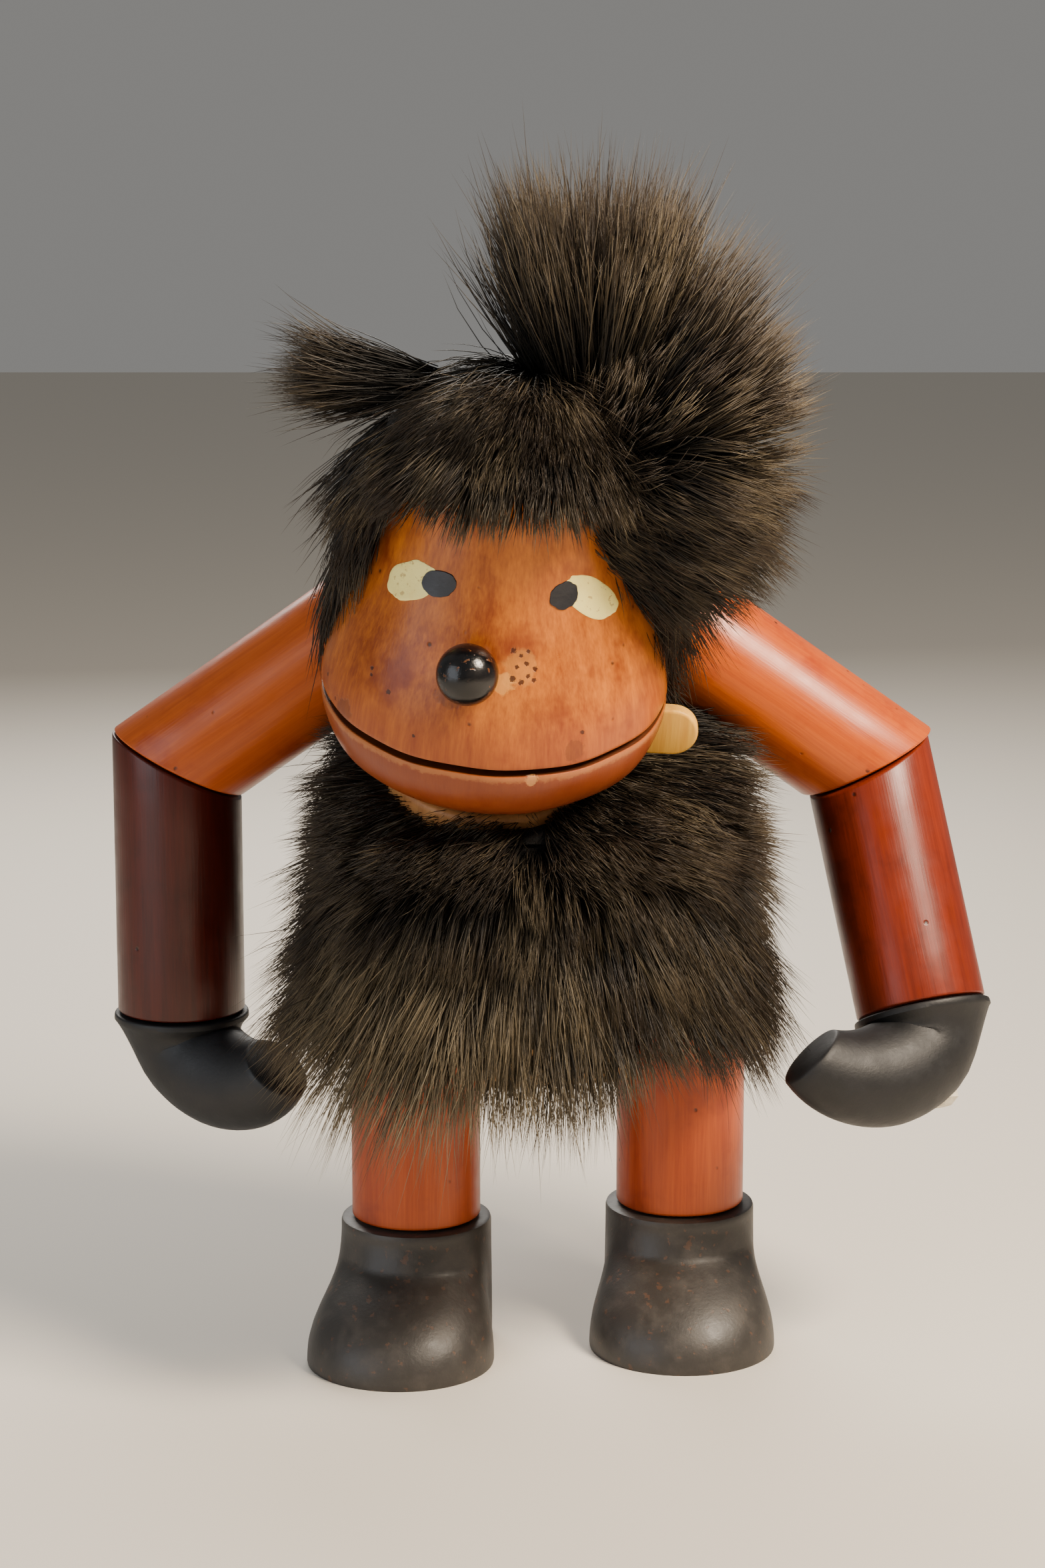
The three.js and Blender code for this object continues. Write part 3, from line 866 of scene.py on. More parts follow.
@dataclass(frozen=True)
class Pear:
    """Outline of the head: radius against height above the mouth cut, and the unevenness of handwork."""

    KNOTS = ((10, -11), (14.8, -9), (18.6, -6), (20.1, -2.6), (20.2, 1), (19.6, 5), (18.2, 9.5), (16.3, 14.5),
             (14.6, 19.5), (13.4, 24.5), (12.3, 29), (10, 33), (5.6, 35.9), (0.4, 36.6))
    FACETS = ((38, 24.0, -0.42), (66, 23.6, -0.45), (-40, 24.2, -0.45), (-62, 23.9, -0.42), (8, 24.4, -0.48))

    def radius(self, z: Rows) -> Rows:
        """Returns the radius at each height."""
        curve = smooth_curve(self.KNOTS)
        return np.interp(z, curve[:, 1], curve[:, 0])

    def point(self, azimuth: Rows, z: Rows, lift: float = 0.0) -> Rows:
        """Returns surface points. Azimuth is in degrees from the middle of the face towards +x."""
        turned = np.radians(azimuth)
        r = self.radius(z)
        plain = np.stack([r * np.sin(turned), -r * np.cos(turned), z + 0 * r], -1)
        r = r + lift + 0.12 * Noise(5, 9.0)(plain)
        return np.stack([r * np.sin(turned), -r * np.cos(turned), z + 0 * r], -1)


@dataclass
class Head:
    """The turned head with its sawn mouth, bead nose, ear tabs, painted eyes and neck collar.

    Args:
        shop: Where the pieces go.
    """

    shop: Workshop
    pear: Pear = field(default_factory=Pear)

    KERF_HALF = 0.4
    KERF_CHORD = 5.5
    KERF_TURN = 3.5
    NOSE = (-9.0, 12.4)
    NOSE_REACH = 19.75
    NOSE_R = 3.5
    EAR_Z = -4.0
    COLLAR = (-15.3, -11.3)

    def build(self) -> None:
        """Adds every piece of the head."""
        shop, place = self.shop, self.shop.place(head_place())
        face = FACE.build(self._face_details)
        shop.add(self._block(place), "head", face, "head_wood", "head_block")
        shop.add(self._nose(place), "head", BEAD, "bead", "nose_bead")
        shop.add(self._ear(Side.RIGHT, place), "head", PALE, "pale_wood", "ear_right")
        shop.add(self._collar(place), "trunk", RAW, "raw_wood", "neck_collar")
        self._eyes(place)

    def _block(self, place: Matrix) -> bpy.types.Object:
        """Returns the head's wood, with the kerf of the mouth."""
        sides = 144
        azimuth = np.linspace(-180, 180, sides, endpoint=False)
        heights = list(np.linspace(-9.6, -1.3, 22)) + [-0.95, -0.7]
        rows = [self._ring(azimuth, -11.0, -7.0), self._ring(azimuth, -11.0, -0.9)]
        rows += [self._ring(azimuth, -10.85, -0.35)]
        rows += [self._ring(azimuth, z) for z in [-10.4] + heights]
        rows += [self._ring(azimuth, -0.48, -0.07), self._ring(azimuth, -self.KERF_HALF, -0.22)]
        rows += [self._kerf_ring(azimuth, -self.KERF_HALF), self._kerf_ring(azimuth, self.KERF_HALF)]
        rows += [self._ring(azimuth, self.KERF_HALF, -0.2), self._ring(azimuth, 0.5, -0.06)]
        rows += [self._ring(azimuth, z) for z in [0.7, 1.0] + list(np.linspace(1.5, 36.5, 60))]
        return Shell("head_wood_block", rows, place).build()

    def _ring(self, azimuth: Rows, z: float, lift: float = 0.0) -> Rows:
        """Returns a level ring on the head, with the jaw's flats."""
        points = self.pear.point(azimuth, np.full(len(azimuth), z), lift)
        if z < -0.9:
            points = self._facets(points)
        return points

    def _facets(self, points: Rows) -> Rows:
        """Returns jaw points pushed in to a few knife-cut flats."""
        for azimuth, reach, slope in Pear.FACETS:
            a = math.radians(azimuth)
            normal = np.array([math.sin(a), -math.cos(a), slope * 2.2])
            normal /= np.linalg.norm(normal)
            over = points @ normal - (reach - 1.5) * 0.945
            out = points[:, :2] @ normal[:2] / np.maximum(np.linalg.norm(points[:, :2], axis=1) ** 2, 1e-6)
            share = np.where((over > 0) & (out > 0.005), over / np.maximum(out, 1e-6), 0)
            shrink = np.clip(share / np.maximum(np.linalg.norm(points[:, :2], axis=1) ** 2, 1e-6), 0, 0.05)
            points[:, :2] *= (1 - shrink)[:, None]
        return points

    def _kerf_ring(self, azimuth: Rows, z: float) -> Rows:
        """Returns a ring that follows the bottom of the saw cut."""
        turned = np.radians(azimuth - self.KERF_TURN)
        outer = self.pear.radius(np.full(len(azimuth), z)) - 0.3
        chord = self.KERF_CHORD / np.maximum(np.cos(turned), 0.05)
        radius = np.minimum(outer, chord)
        a = np.radians(azimuth)
        return np.stack([radius * np.sin(a), -radius * np.cos(a), np.full(len(a), z)], 1)

    def _face_details(self, g: Graph, colour, height):
        """Adds the pale lip, pits beside the nose and a rubbed patch to the face, and paints shade on it: a
        darker, ruddier lower face, a darker jaw, a near-black mouth cut and the nose bead's shadow.
        """
        here = g.local(Space.PIECE)
        z = g.node("ShaderNodeSeparateXYZ", {0: here}).outputs[2]
        y = g.node("ShaderNodeSeparateXYZ", {0: here}).outputs[1]
        front = g.step(g.math("MULTIPLY", y, -1.0), 2.0, 9.0)
        ragged = g.math("MULTIPLY", g.math("SUBTRACT", g.noise(here, 0.9, 5, 0.7), 0.5), 2.2)
        level = g.math("ADD", z, ragged)
        # Painted shade: the jaw below the mouth cut is darkened for the shade under the face above it.
        jaw_shade = g.math("SUBTRACT", 1.0, g.step(z, -1.5, -0.3))
        colour = g.mix(g.math("MULTIPLY", jaw_shade, 0.72), colour, rgb(82, 38, 16))
        # Painted shade: the front of the face grows darker and ruddier from below the nose down to the mouth
        # cut.
        lower_face_shade = g.math("MULTIPLY", g.step(level, 9.0, 1.0), front)
        colour = g.mix(g.math("MULTIPLY", lower_face_shade, 0.45), colour, rgb(150, 62, 26))
        lip = g.math("MULTIPLY", g.step(level, -1.4, -0.9), g.math("SUBTRACT", 1.0, g.step(z, -0.55, -0.42)))
        colour = g.mix(g.math("MULTIPLY", g.math("MULTIPLY", lip, front), 0.6), colour, rgb(176, 112, 62))
        # Painted shade: the inside of the mouth cut is painted near-black.
        kerf_shade = g.math("SUBTRACT", 1.0, g.step(g.math("ABSOLUTE", z, 0), 0.38, 0.46))
        colour = g.mix(kerf_shade, colour, rgb(30, 14, 8))
        for azimuth, t, size, ink, depth in self._marks():
            spot = self._spot(g, here, azimuth, t, size)
            colour = g.mix(g.math("MULTIPLY", spot, depth), colour, ink)
            height = g.math("SUBTRACT", height, g.math("MULTIPLY", spot, 1.5 if size < 1 else 0.3))
        return colour, height

    @staticmethod
    def _marks() -> list[tuple]:
        """Returns the face's marks as (azimuth, height, size, colour, strength)."""
        dark, raw, nose_shadow = rgb(58, 24, 12), rgb(226, 158, 74), rgb(52, 30, 20)
        pits = [
            (6.5, 14.0, 0.34), (11.6, 12.5, 0.3), (6.4, 11.0, 0.36), (9.4, 10.6, 0.34), (14.3, 10.7, 0.28),
            (14.8, 11.9, 0.3), (9.6, 13.4, 0.24), (7.9, 12.2, 0.26), (12.4, 13.8, 0.24), (12.2, 11.2, 0.3),
            (-38.4, 6.8, 0.3), (-48, 8.3, 0.28), (-47.4, 7.6, 0.22), (31, 4.2, 0.26), (-26, 3.0, 0.22),
        ]
        # The spot at azimuth -15.5, below and left of the nose bead, is the nose's painted shadow.
        marks = [(3.2, 10.6, 1.2, raw, 0.65), (9.5, 12.0, 2.2, raw, 0.28), (-15.5, 8.6, 1.6, nose_shadow, 0.35)]
        marks += [(28.3, 2.2, 1.3, dark, 0.35), (13.9, -1.0, 0.8, rgb(196, 136, 78), 0.8)]
        marks += [(-58, 1.4, 1.8, dark, 0.4)]
        return marks + [(a, t, r, dark, 0.9) for a, t, r in pits]

    def _spot(self, g: Graph, here, azimuth: float, t: float, size: float):
        """Returns a mask that is 1 near one point of the face, with a ragged edge."""
        point = self.pear.point(np.array([azimuth]), np.array([t]))[0]
        measure = g.node("ShaderNodeVectorMath", {0: here, 1: tuple(point)}, operation="DISTANCE")
        away = measure.outputs["Value"]
        ragged = g.math("MULTIPLY", g.math("SUBTRACT", g.noise(here, 1.1 / size, 3, 0.6), 0.5), size * 1.9)
        return g.math("SUBTRACT", 1.0, g.step(g.math("ADD", away, ragged), size * 0.75, size * 1.1))

    def _nose(self, place: Matrix) -> bpy.types.Object:
        """Returns the nose bead."""
        angle = np.linspace(-90, 90, 25)
        profile = [
            (self.NOSE_R * math.cos(math.radians(a)), self.NOSE_R * math.sin(math.radians(a))) for a in angle
        ]
        profile[0], profile[-1] = (0, -self.NOSE_R), (0, self.NOSE_R)
        azimuth, z = self.NOSE
        a = math.radians(azimuth)
        at = Matrix.Translation((self.NOSE_REACH * math.sin(a), -self.NOSE_REACH * math.cos(a), z))
        return lathe("nose_ball", profile, place @ at, 48)

    def _ear(self, side: Side, place: Matrix) -> bpy.types.Object:
        """Returns one ear, a flat tab with a round end."""
        half, reach = 3.05, 21.2
        angle = np.radians(np.linspace(-90, 90, 22))
        x = np.concatenate([[17.6], reach + half * np.cos(angle), [17.6]]) * side.value
        z = self.EAR_Z + np.concatenate([[-half], half * np.sin(angle), [half]])
        rings = [np.stack([x, np.full_like(x, y), z], 1) for y in (-1.15, -3.05)]
        return Shell(f"ear_tab_{side.tag}", rings, place).build((0, 1), 0.4)

    def _collar(self, place: Matrix) -> bpy.types.Object:
        """Returns the collar under the jaw."""
        low, high = self.COLLAR
        profile = rounded([(3.4, low), (12.3, low), (12.5, high), (3.4, high), (3.4, low)], 0.9)
        rings = [circle(r, z) for r, z in profile[:-1]]
        mesh = bmesh.new()
        loops = [[mesh.verts.new(tuple(p)) for p in ring] for ring in rings]
        for a, b in zip(loops, loops[1:] + loops[:1]):
            for i, j in zip(range(len(a)), list(range(1, len(a))) + [0]):
                mesh.faces.new((a[i], a[j], b[j], b[i]))
        return finish_mesh("neck_ring", mesh, place)

    def _eyes(self, place: Matrix) -> None:
        """Adds the painted eyes: a cream oval and a slate pupil on each side of the face."""
        for name, azimuth, t, half_wide, half_tall, tilt, seed in (
            ("left", -42.7, 19.0, 3.75, 2.15, 28, 3), ("right", 43.3, 18.3, 4.3, 2.05, -34, 8),
        ):
            white = Patch(self.pear, azimuth, t, half_wide, half_tall, tilt, 0.07, seed)
            self.shop.add(white.build(f"eye_cream_{name}", place), "head", EYE_PAINT, "pale_wood")
        for name, azimuth, t, half_wide, half_tall, tilt, seed in (
            ("left", -28.2, 20.0, 2.15, 1.5, 10, 12), ("right", 29.2, 19.4, 1.85, 1.55, 5, 14),
        ):
            pupil = Patch(self.pear, azimuth, t, half_wide, half_tall, tilt, 0.12, seed)
            self.shop.add(pupil.build(f"eye_pupil_{name}", place), "head", PUPIL_PAINT, "black_paint")


@dataclass(frozen=True)
class Patch:
    """A thin oval of paint lying on the head.

    Args:
        pear: The head's outline.
        azimuth: Middle of the oval, in degrees.
        t: Middle of the oval, height above the mouth cut.
        half_wide: Half length along the oval's long axis.
        half_tall: Half width across it.
        tilt: Degrees that the long axis rises towards +x.
        lift: Height of the paint above the wood.
        seed: Seed of the uneven brush edge.
    """

    pear: Pear
    azimuth: float
    t: float
    half_wide: float
    half_tall: float
    tilt: float
    lift: float
    seed: int

    def build(self, name: str, place: Matrix) -> bpy.types.Object:
        """Returns the oval as a closed, domed sheet."""
        angle = np.linspace(0, 2 * np.pi, 72, endpoint=False)
        unit = np.stack([np.cos(angle), np.sin(angle), 0 * angle], 1)
        edge = 1 + 0.05 * Noise(self.seed, 2.6)(unit * 2) + 0.025 * Noise(self.seed + 1, 0.8)(unit * 2)
        rings = [self._ring(angle, edge * s, -0.25) for s in (0.05, 0.5, 1.0)]
        rings += [self._ring(angle, edge, self.lift * 0.55)]
        rings += [self._ring(angle, edge * s, self.lift) for s in (0.975, 0.85, 0.7, 0.5, 0.3, 0.05)]
        return Shell(name, rings, place).build()

    def _ring(self, angle: Rows, reach: Rows, lift: float) -> Rows:
        """Returns a ring of the patch, laid on the head's wood."""
        tilt = math.radians(self.tilt)
        along, across = self.half_wide * reach * np.cos(angle), self.half_tall * reach * np.sin(angle)
        right = along * math.cos(tilt) - across * math.sin(tilt)
        up = along * math.sin(tilt) + across * math.cos(tilt)
        radius = float(self.pear.radius(np.array([self.t]))[0])
        return self.pear.point(self.azimuth + np.degrees(right / radius), self.t + up, lift)


# ---------------------------------------------------------------- fur


@dataclass(frozen=True)
class Patchwork:
    """Points on a skin that hairs grow from, with what each hair should do.

    Args:
        roots: Root points, in figure millimetres.
        normals: Outward directions at the roots.
        combs: Directions the hairs are combed in.
        lengths: Hair lengths.
        lift: How far a hair stands off the skin before it follows the comb, 0 to 1.
        tone: Lightness of each hair, 0 to 1.
    """

    roots: Rows
    normals: Rows
    combs: Rows
    lengths: Rows
    lift: Rows
    tone: Rows


def unit(rows: Rows) -> Rows:
    """Returns the rows scaled to length 1."""
    return rows / np.maximum(np.linalg.norm(rows, axis=-1, keepdims=True), 1e-9)


def moved(rows: Rows, matrix: Matrix, direction: bool = False) -> Rows:
    """Returns points, or directions, taken through a matrix."""
    m = np.array(matrix)
    made = rows @ m[:3, :3].T
    return unit(made) if direction else made + m[:3, 3]


@dataclass(frozen=True)
class Coat:
    """Turns patchworks into hairs that gather in locks.

    Args:
        name: Name that the pieces start with.
        body: CAD body that they ride on.
        seed: Seed of the random numbers.
        width: Thickness of a hair at its root, in millimetres.
        lock_size: Hairs to a lock.
        gather: How strongly the hairs of a lock meet at their tips, 0 to 1.
        stray: Share of hairs that leave their lock.
    """

    name: str
    body: str
    seed: int
    width: float = 0.17
    lock_size: int = 70
    gather: float = 0.62
    stray: float = 0.12

    STEPS = 4
    PER_PIECE = 8800

    def grow(self, patch: Patchwork, shop: Workshop, material: bpy.types.Material) -> list[bpy.types.Object]:
        """Adds the hairs as pieces of at most PER_PIECE hairs."""
        rng = np.random.default_rng(self.seed)
        paths, tone = self._paths(patch, rng)
        order = rng.permutation(len(paths))
        made = []
        for number, start in enumerate(range(0, len(order), self.PER_PIECE)):
            some = order[start:start + self.PER_PIECE]
            hairs = self._mesh(f"{self.name}_{number + 1}", paths[some], tone[some], rng, shop.figure)
            shop.add(hairs, self.body, material, "fur")
            made.append(hairs)
        return made

    def _paths(self, patch: Patchwork, rng: np.random.Generator) -> tuple[Rows, Rows]:
        """Returns the points along each hair, and each hair's tone."""
        count = len(patch.roots)
        lead = rng.choice(count, max(count // self.lock_size, 1), replace=False)
        member = nearest(patch.roots, patch.roots[lead])
        comb = unit(patch.combs + rng.normal(0, 0.19, (count, 3)))
        lock_comb = unit(patch.combs[lead] + rng.normal(0, 0.2, (len(lead), 3)))
        scale = rng.uniform(0.72, 1.12, count) * rng.uniform(0.82, 1.15, len(lead))[member]
        length = (patch.lengths * scale)[:, None]
        out = unit(patch.normals * patch.lift[:, None] + comb * (1 - patch.lift[:, None]))
        middle = patch.roots + out * length * 0.5
        tip = middle + unit(comb * 0.85 + out * 0.3) * length * 0.52
        lock_tip = patch.roots[lead] + (lock_comb * 0.75 + out[lead] * 0.3) * length[lead]
        target = lock_tip[member] + (patch.roots - patch.roots[lead][member]) * 0.3
        pull = rng.uniform(0.5, 1.0, count) * self.gather
        pull[rng.random(count) < self.stray] = 0.0
        tip += (target - tip) * pull[:, None]
        tip += rng.normal(0, 0.035, (count, 3)) * length
        middle += rng.normal(0, 0.03, (count, 3)) * length
        t = np.linspace(0, 1, self.STEPS + 1)[None, :, None]
        a, b, c = patch.roots[:, None], middle[:, None], tip[:, None]
        paths = a * (1 - t) ** 2 + 2 * b * t * (1 - t) + c * t * t
        tone = patch.tone + rng.normal(0, 0.1, count) + rng.normal(0, 0.13, len(lead))[member]
        return paths, np.clip(tone, 0.03, 0.93)

    def _mesh(
        self, name: str, paths: Rows, tone: Rows, rng: np.random.Generator, figure: Figure
    ) -> bpy.types.Object:
        """Returns one mesh of three-sided tapered hairs, each closed at both ends."""
        count, steps = len(paths), self.STEPS
        along = np.gradient(paths, axis=1)
        side = unit(np.cross(along, rng.normal(size=(count, 1, 3))))
        other = unit(np.cross(along, side))
        fade = np.array([1.0, 0.95, 0.78, 0.5])[:steps]
        radius = self.width / 2 * rng.uniform(0.75, 1.25, (count, 1, 1)) * fade[None, :, None]
        corners = []
        for k in range(3):
            a = 2 * np.pi * k / 3
            offset = side[:, :steps] * math.cos(a) + other[:, :steps] * math.sin(a)
            corners.append(paths[:, :steps] + offset * radius)
        ring = np.stack(corners, 2).reshape(count, steps * 3, 3)
        points = np.concatenate([ring, paths[:, steps:]], 1)
        points = moved(points.reshape(-1, 3), figure.place())
        faces, uv = hair_template(steps)
        per = steps * 3 + 1
        index = (faces[None, :] + (np.arange(count) * per)[:, None]).ravel()
        data = bpy.data.meshes.new(name)
        data.vertices.add(count * per)
        data.vertices.foreach_set("co", points.astype(np.float32).ravel())
        data.loops.add(len(index))
        data.loops.foreach_set("vertex_index", index.astype(np.int32))
        data.polygons.add(len(index) // 3)
        data.polygons.foreach_set("loop_start", np.arange(0, len(index), 3, dtype=np.int32))
        data.update(calc_edges=True)
        layer = data.uv_layers.new(name="OFBake")
        placed = np.repeat(uv[None], count, 0)
        placed[:, :, 0] += tone[:, None]
        layer.data.foreach_set("uv", placed.astype(np.float32).ravel())
        data.polygons.foreach_set("use_smooth", np.ones(len(data.polygons), bool))
        made = bpy.data.objects.new(name, data)
        bpy.context.scene.collection.objects.link(made)
        return made


def hair_template(steps: int) -> tuple[Rows, Rows]:
    """Returns the corners of one hair's triangles, and their texture places relative to the hair's tone."""
    corners, uv = [0, 2, 1], [(0, 0), (0.01, 0), (0, 0.01)]
    for s in range(steps):
        low, high = s / steps, (s + 1) / steps
        for k in range(3):
            n = (k + 1) % 3
            a, b = s * 3 + k, s * 3 + n
            if s == steps - 1:
                corners += [a, b, steps * 3]
                uv += [(0, low), (0.01, low), (0.005, high)]
                continue
            c, d = b + 3, a + 3
            corners += [a, b, c, a, c, d]
            uv += [(0, low), (0.01, low), (0.01, high), (0, low), (0.01, high), (0, high)]
    return np.array(corners), np.array(uv, float)


def nearest(points: Rows, seeds: Rows) -> Rows:
    """Returns the number of the nearest seed for each point."""
    made = np.zeros(len(points), int)
    for start in range(0, len(points), 4000):
        some = points[start:start + 4000]
        made[start:start + 4000] = ((some[:, None] - seeds[None]) ** 2).sum(-1).argmin(1)
    return made


def fur_finish() -> bpy.types.Material:
    """Returns the hairs' finish: dark at the root, browner and greyer towards the tip."""
    material, g, shader = principled("dark_fur")
    parts = g.node("ShaderNodeSeparateXYZ", {0: g.node("ShaderNodeUVMap", uv_map="OFBake").outputs[0]})
    dark = g.ramp(parts.outputs[1], [(0.0, rgb(6, 5, 4)), (0.5, rgb(18, 15, 12)), (1.0, rgb(54, 42, 30))])
    light = g.ramp(
        parts.outputs[1], [(0.0, rgb(14, 12, 10)), (0.45, rgb(74, 65, 50)), (1.0, rgb(150, 134, 104))]
    )
    colour = g.mix(g.step(parts.outputs[0], 0.0, 1.0), dark, light)
    feed_all(g, shader, {"Base Color": colour, "Roughness": 0.46, "Specular IOR Level": 0.35})
    return material


def skin_finish() -> bpy.types.Material:
    """Returns the dark, matted underfur that the hairs grow from."""
    material, g, shader = principled("dark_underfur")
    here = g.local(Space.OBJECT)
    colour = g.mix(g.noise(here, 1.4, 5, 0.7), rgb(5, 4, 4), rgb(18, 14, 11))
    rough = g.noise(here, 2.5, 4, 0.7)
    bump = g.node("ShaderNodeBump", {"Height": rough, "Strength": 0.8, "Distance": 0.0006})
    feed_all(g, shader, {"Base Color": colour, "Roughness": 0.9, "Normal": bump.outputs[0]})
    return material


def blob(name: str, centre: tuple, radii: tuple, place: Matrix) -> bpy.types.Object:
    """Returns an ellipsoid made with bmesh's UV sphere."""
    mesh = bmesh.new()
    bmesh.ops.create_uvsphere(mesh, u_segments=40, v_segments=24, radius=1)
    bmesh.ops.scale(mesh, vec=radii, verts=mesh.verts)
    bmesh.ops.translate(mesh, vec=centre, verts=mesh.verts)
    return finish_mesh(name, mesh, place)


@dataclass
class HeadFur:
    """The fur cap: a fringe, a standing crest, a tuft on one side and a full mass on the other.

    Args:
        shop: Where the pieces go.
        fur: Finish of the hairs.
        skin: Finish of the underfur.
    """

    shop: Workshop
    fur: bpy.types.Material
    skin: bpy.types.Material
    pear: Pear = field(default_factory=Pear)

    UP = np.array([-0.06, 0.374, 0.925])
    WHORL = np.array([3.0, 4.0, 40.0])
    CREST = np.array([9.2, 3.0, 36.0])
    MASS = ((14.0, 1.5, 27.5), (9.5, 10.0, 11.5))

    def build(self) -> None:
        """Adds the underfur and every patch of hair."""
        place = self.shop.place(head_place())
        self.shop.add(self._cap(place), "head", self.skin, "fur", "head_fur")
        self.shop.add(blob("fur_skin_mass", *self.MASS, place), "head", self.skin, "fur")
        crest = tuple(self.CREST + self.UP * 3.5)
        self.shop.add(blob("fur_skin_crest", crest, (5.0, 5.0, 10.0), place), "head", self.skin, "fur")
        for seed, name, patch in (
            (21, "cap", self._cap_hairs(17000)), (22, "mass", self._mass_hairs(10500)),
            (23, "crest", self._crest_hairs(6000)), (24, "tuft", self._tuft_hairs(1500)),
        ):
            Coat(f"fur_head_{name}", "head", seed).grow(patch, self.shop, self.fur)

    def _hairline(self, azimuth: Rows) -> Rows:
        """Returns the lowest height of the skin for each azimuth in degrees from the face."""
        away = np.abs(azimuth - 2)
        return np.interp(away, [0, 45, 66, 80, 95, 130, 180], [31, 31, 30, 21, 8, 4, 3])

    def _cap(self, place: Matrix) -> bpy.types.Object:
        """Returns the underfur of the cap."""
        azimuth = np.linspace(-180, 180, 96, endpoint=False)
        low = self._hairline(azimuth)
        rows = [self.pear.point(azimuth, low + 0.6, -1.5)]
        for s in np.linspace(0, 1, 26):
            z = low + (36.0 - low) * s
            rows.append(self.pear.point(azimuth, z, 0.15 + 3.0 * min(s * 3.5, 1.0)))
        top = rows[-1].copy()
        for share, rise in ((0.8, 1.6), (0.5, 2.8), (0.1, 3.2)):
            row = top.copy()
            row[:, :2] *= share
            row[:, 2] += rise
            rows.append(row)
        return Shell("fur_skin_cap", rows, place).build()

    def _finish(self, roots, normals, combs, lengths, lift, tone) -> Patchwork:
        """Returns a patchwork moved from the head's frame into the figure's."""
        place = head_place()
        return Patchwork(moved(roots, place), moved(normals, place, True), moved(combs, place, True), lengths,
                         np.broadcast_to(lift, len(roots)), tone)

    def _cap_hairs(self, count: int) -> Patchwork:
        """Returns the short hairs of the cap."""
        rng = np.random.default_rng(31)
        azimuth = rng.uniform(-180, 180, count)
        low = self._hairline(azimuth)
        z = low + (41.2 - low) * rng.random(count) ** 0.8
        level = np.minimum(z, 36.0)
        roots = self.pear.point(azimuth, level, 2.6) + np.outer(np.clip(z - 36, 0, 2.9), (0, 0, 1))
        roots[:, :2] *= np.sqrt(np.clip(1 - (z - 34) / 7.2, 0.002, 1))[:, None]
        close = np.clip((z - low) / 4, 0, 1)
        roots -= unit(roots * (1, 1, 0)) * (2.4 * (1 - close))[:, None]
        normals = unit(roots - np.array([0, 0, 22.0]))
        flow = roots - self.WHORL
        flow -= normals * (flow * normals).sum(1, keepdims=True)
        front = np.clip(1 - np.abs(azimuth - 2) / 75, 0, 1)
        side = np.clip((np.abs(azimuth) - 60) / 40, 0, 1)
        left = np.clip(-azimuth / 60, 0, 1)
        combs = unit(flow) + np.outer(0.25 + 0.6 * side, -self.UP) + normals * (0.18 - 0.1 * left)[:, None]
        lengths = 8.0 + 3.5 * side + 1.5 * (1 - front)
        tone = 0.1 + 0.3 * front * np.clip((37 - z) / 7, 0, 1) + 0.06 * side
        return self._finish(roots, normals, combs, lengths, 0.4 - 0.1 * front - 0.16 * left, tone)

    def _mass_hairs(self, count: int) -> Patchwork:
        """Returns the long hairs of the full side."""
        rng = np.random.default_rng(32)
        centre, radii = (np.array(v) for v in self.MASS)
        normals = unit(rng.normal(size=(count, 3)) + np.array([0.55, -0.1, 0.0]))
        roots = centre + normals * radii * 0.97
        height = normals @ self.UP
        fall = np.outer(np.where(height > 0.2, 0.5, -0.75), self.UP)
        combs = unit(normals * 0.9 + np.array([0.55, 0, 0]) + fall)
        spikes = 8.5 * np.clip(height + 0.1, 0, 1) * (normals[:, 0] > 0.1)
        lengths = 11.0 + spikes + 3.5 * np.clip(-height, 0, 1)
        lengths *= np.where(normals[:, 0] < 0, 0.7, 1.0)
        facing = np.clip(-normals[:, 1], 0, 1) * np.clip(0.3 - height, 0, 1)
        combs = unit(combs + np.outer(facing * 1.6, (0.75, 0.65, 0)))
        lengths *= 1 - 0.35 * facing
        return self._finish(roots, normals, combs, lengths, 0.45, 0.1 + 0.2 * rng.random(count))

    def _crest_hairs(self, count: int) -> Patchwork:
        """Returns the standing hairs of the crest."""
        rng = np.random.default_rng(33)
        out = rng.normal(size=(count, 3)) * (1.15, 0.85, 1)
        out = unit(out - np.outer(out @ self.UP, self.UP))
        reach = np.sqrt(rng.random(count))
        rise = rng.uniform(-2, 9, count)
        roots = self.CREST + out * (5.2 * reach)[:, None] + np.outer(rise, self.UP)
        combs = unit(np.outer(np.ones(count), self.UP) + out * (0.36 * reach)[:, None])
        lengths = 20.5 - 0.5 * rise + rng.normal(0, 2.4, count) + 2.0 * (1 - reach)
        return self._finish(roots, out, combs, lengths, 0.12, 0.06 + 0.22 * rng.random(count))

    def _tuft_hairs(self, count: int) -> Patchwork:
        """Returns the hairs of the side tuft."""
        rng = np.random.default_rng(34)
        along = unit(np.array([[-1.0, 0.02, 0.03]]))[0]
        out = rng.normal(size=(count, 3))
        out = unit(out - np.outer(out @ along, along))
        reach = np.sqrt(rng.random(count))
        start = rng.uniform(-3, 5, count)
        roots = np.array([-11.0, 4.0, 36.4]) + out * (1.9 * reach)[:, None] + np.outer(start, along)
        combs = unit(along + out * (0.12 * reach)[:, None] - np.outer(rng.random(count) * 0.14, self.UP))
        lengths = 14.5 - 0.5 * start + rng.normal(0, 1.2, count)
        return self._finish(roots, out, combs, lengths, 0.08, 0.12 + 0.25 * rng.random(count))


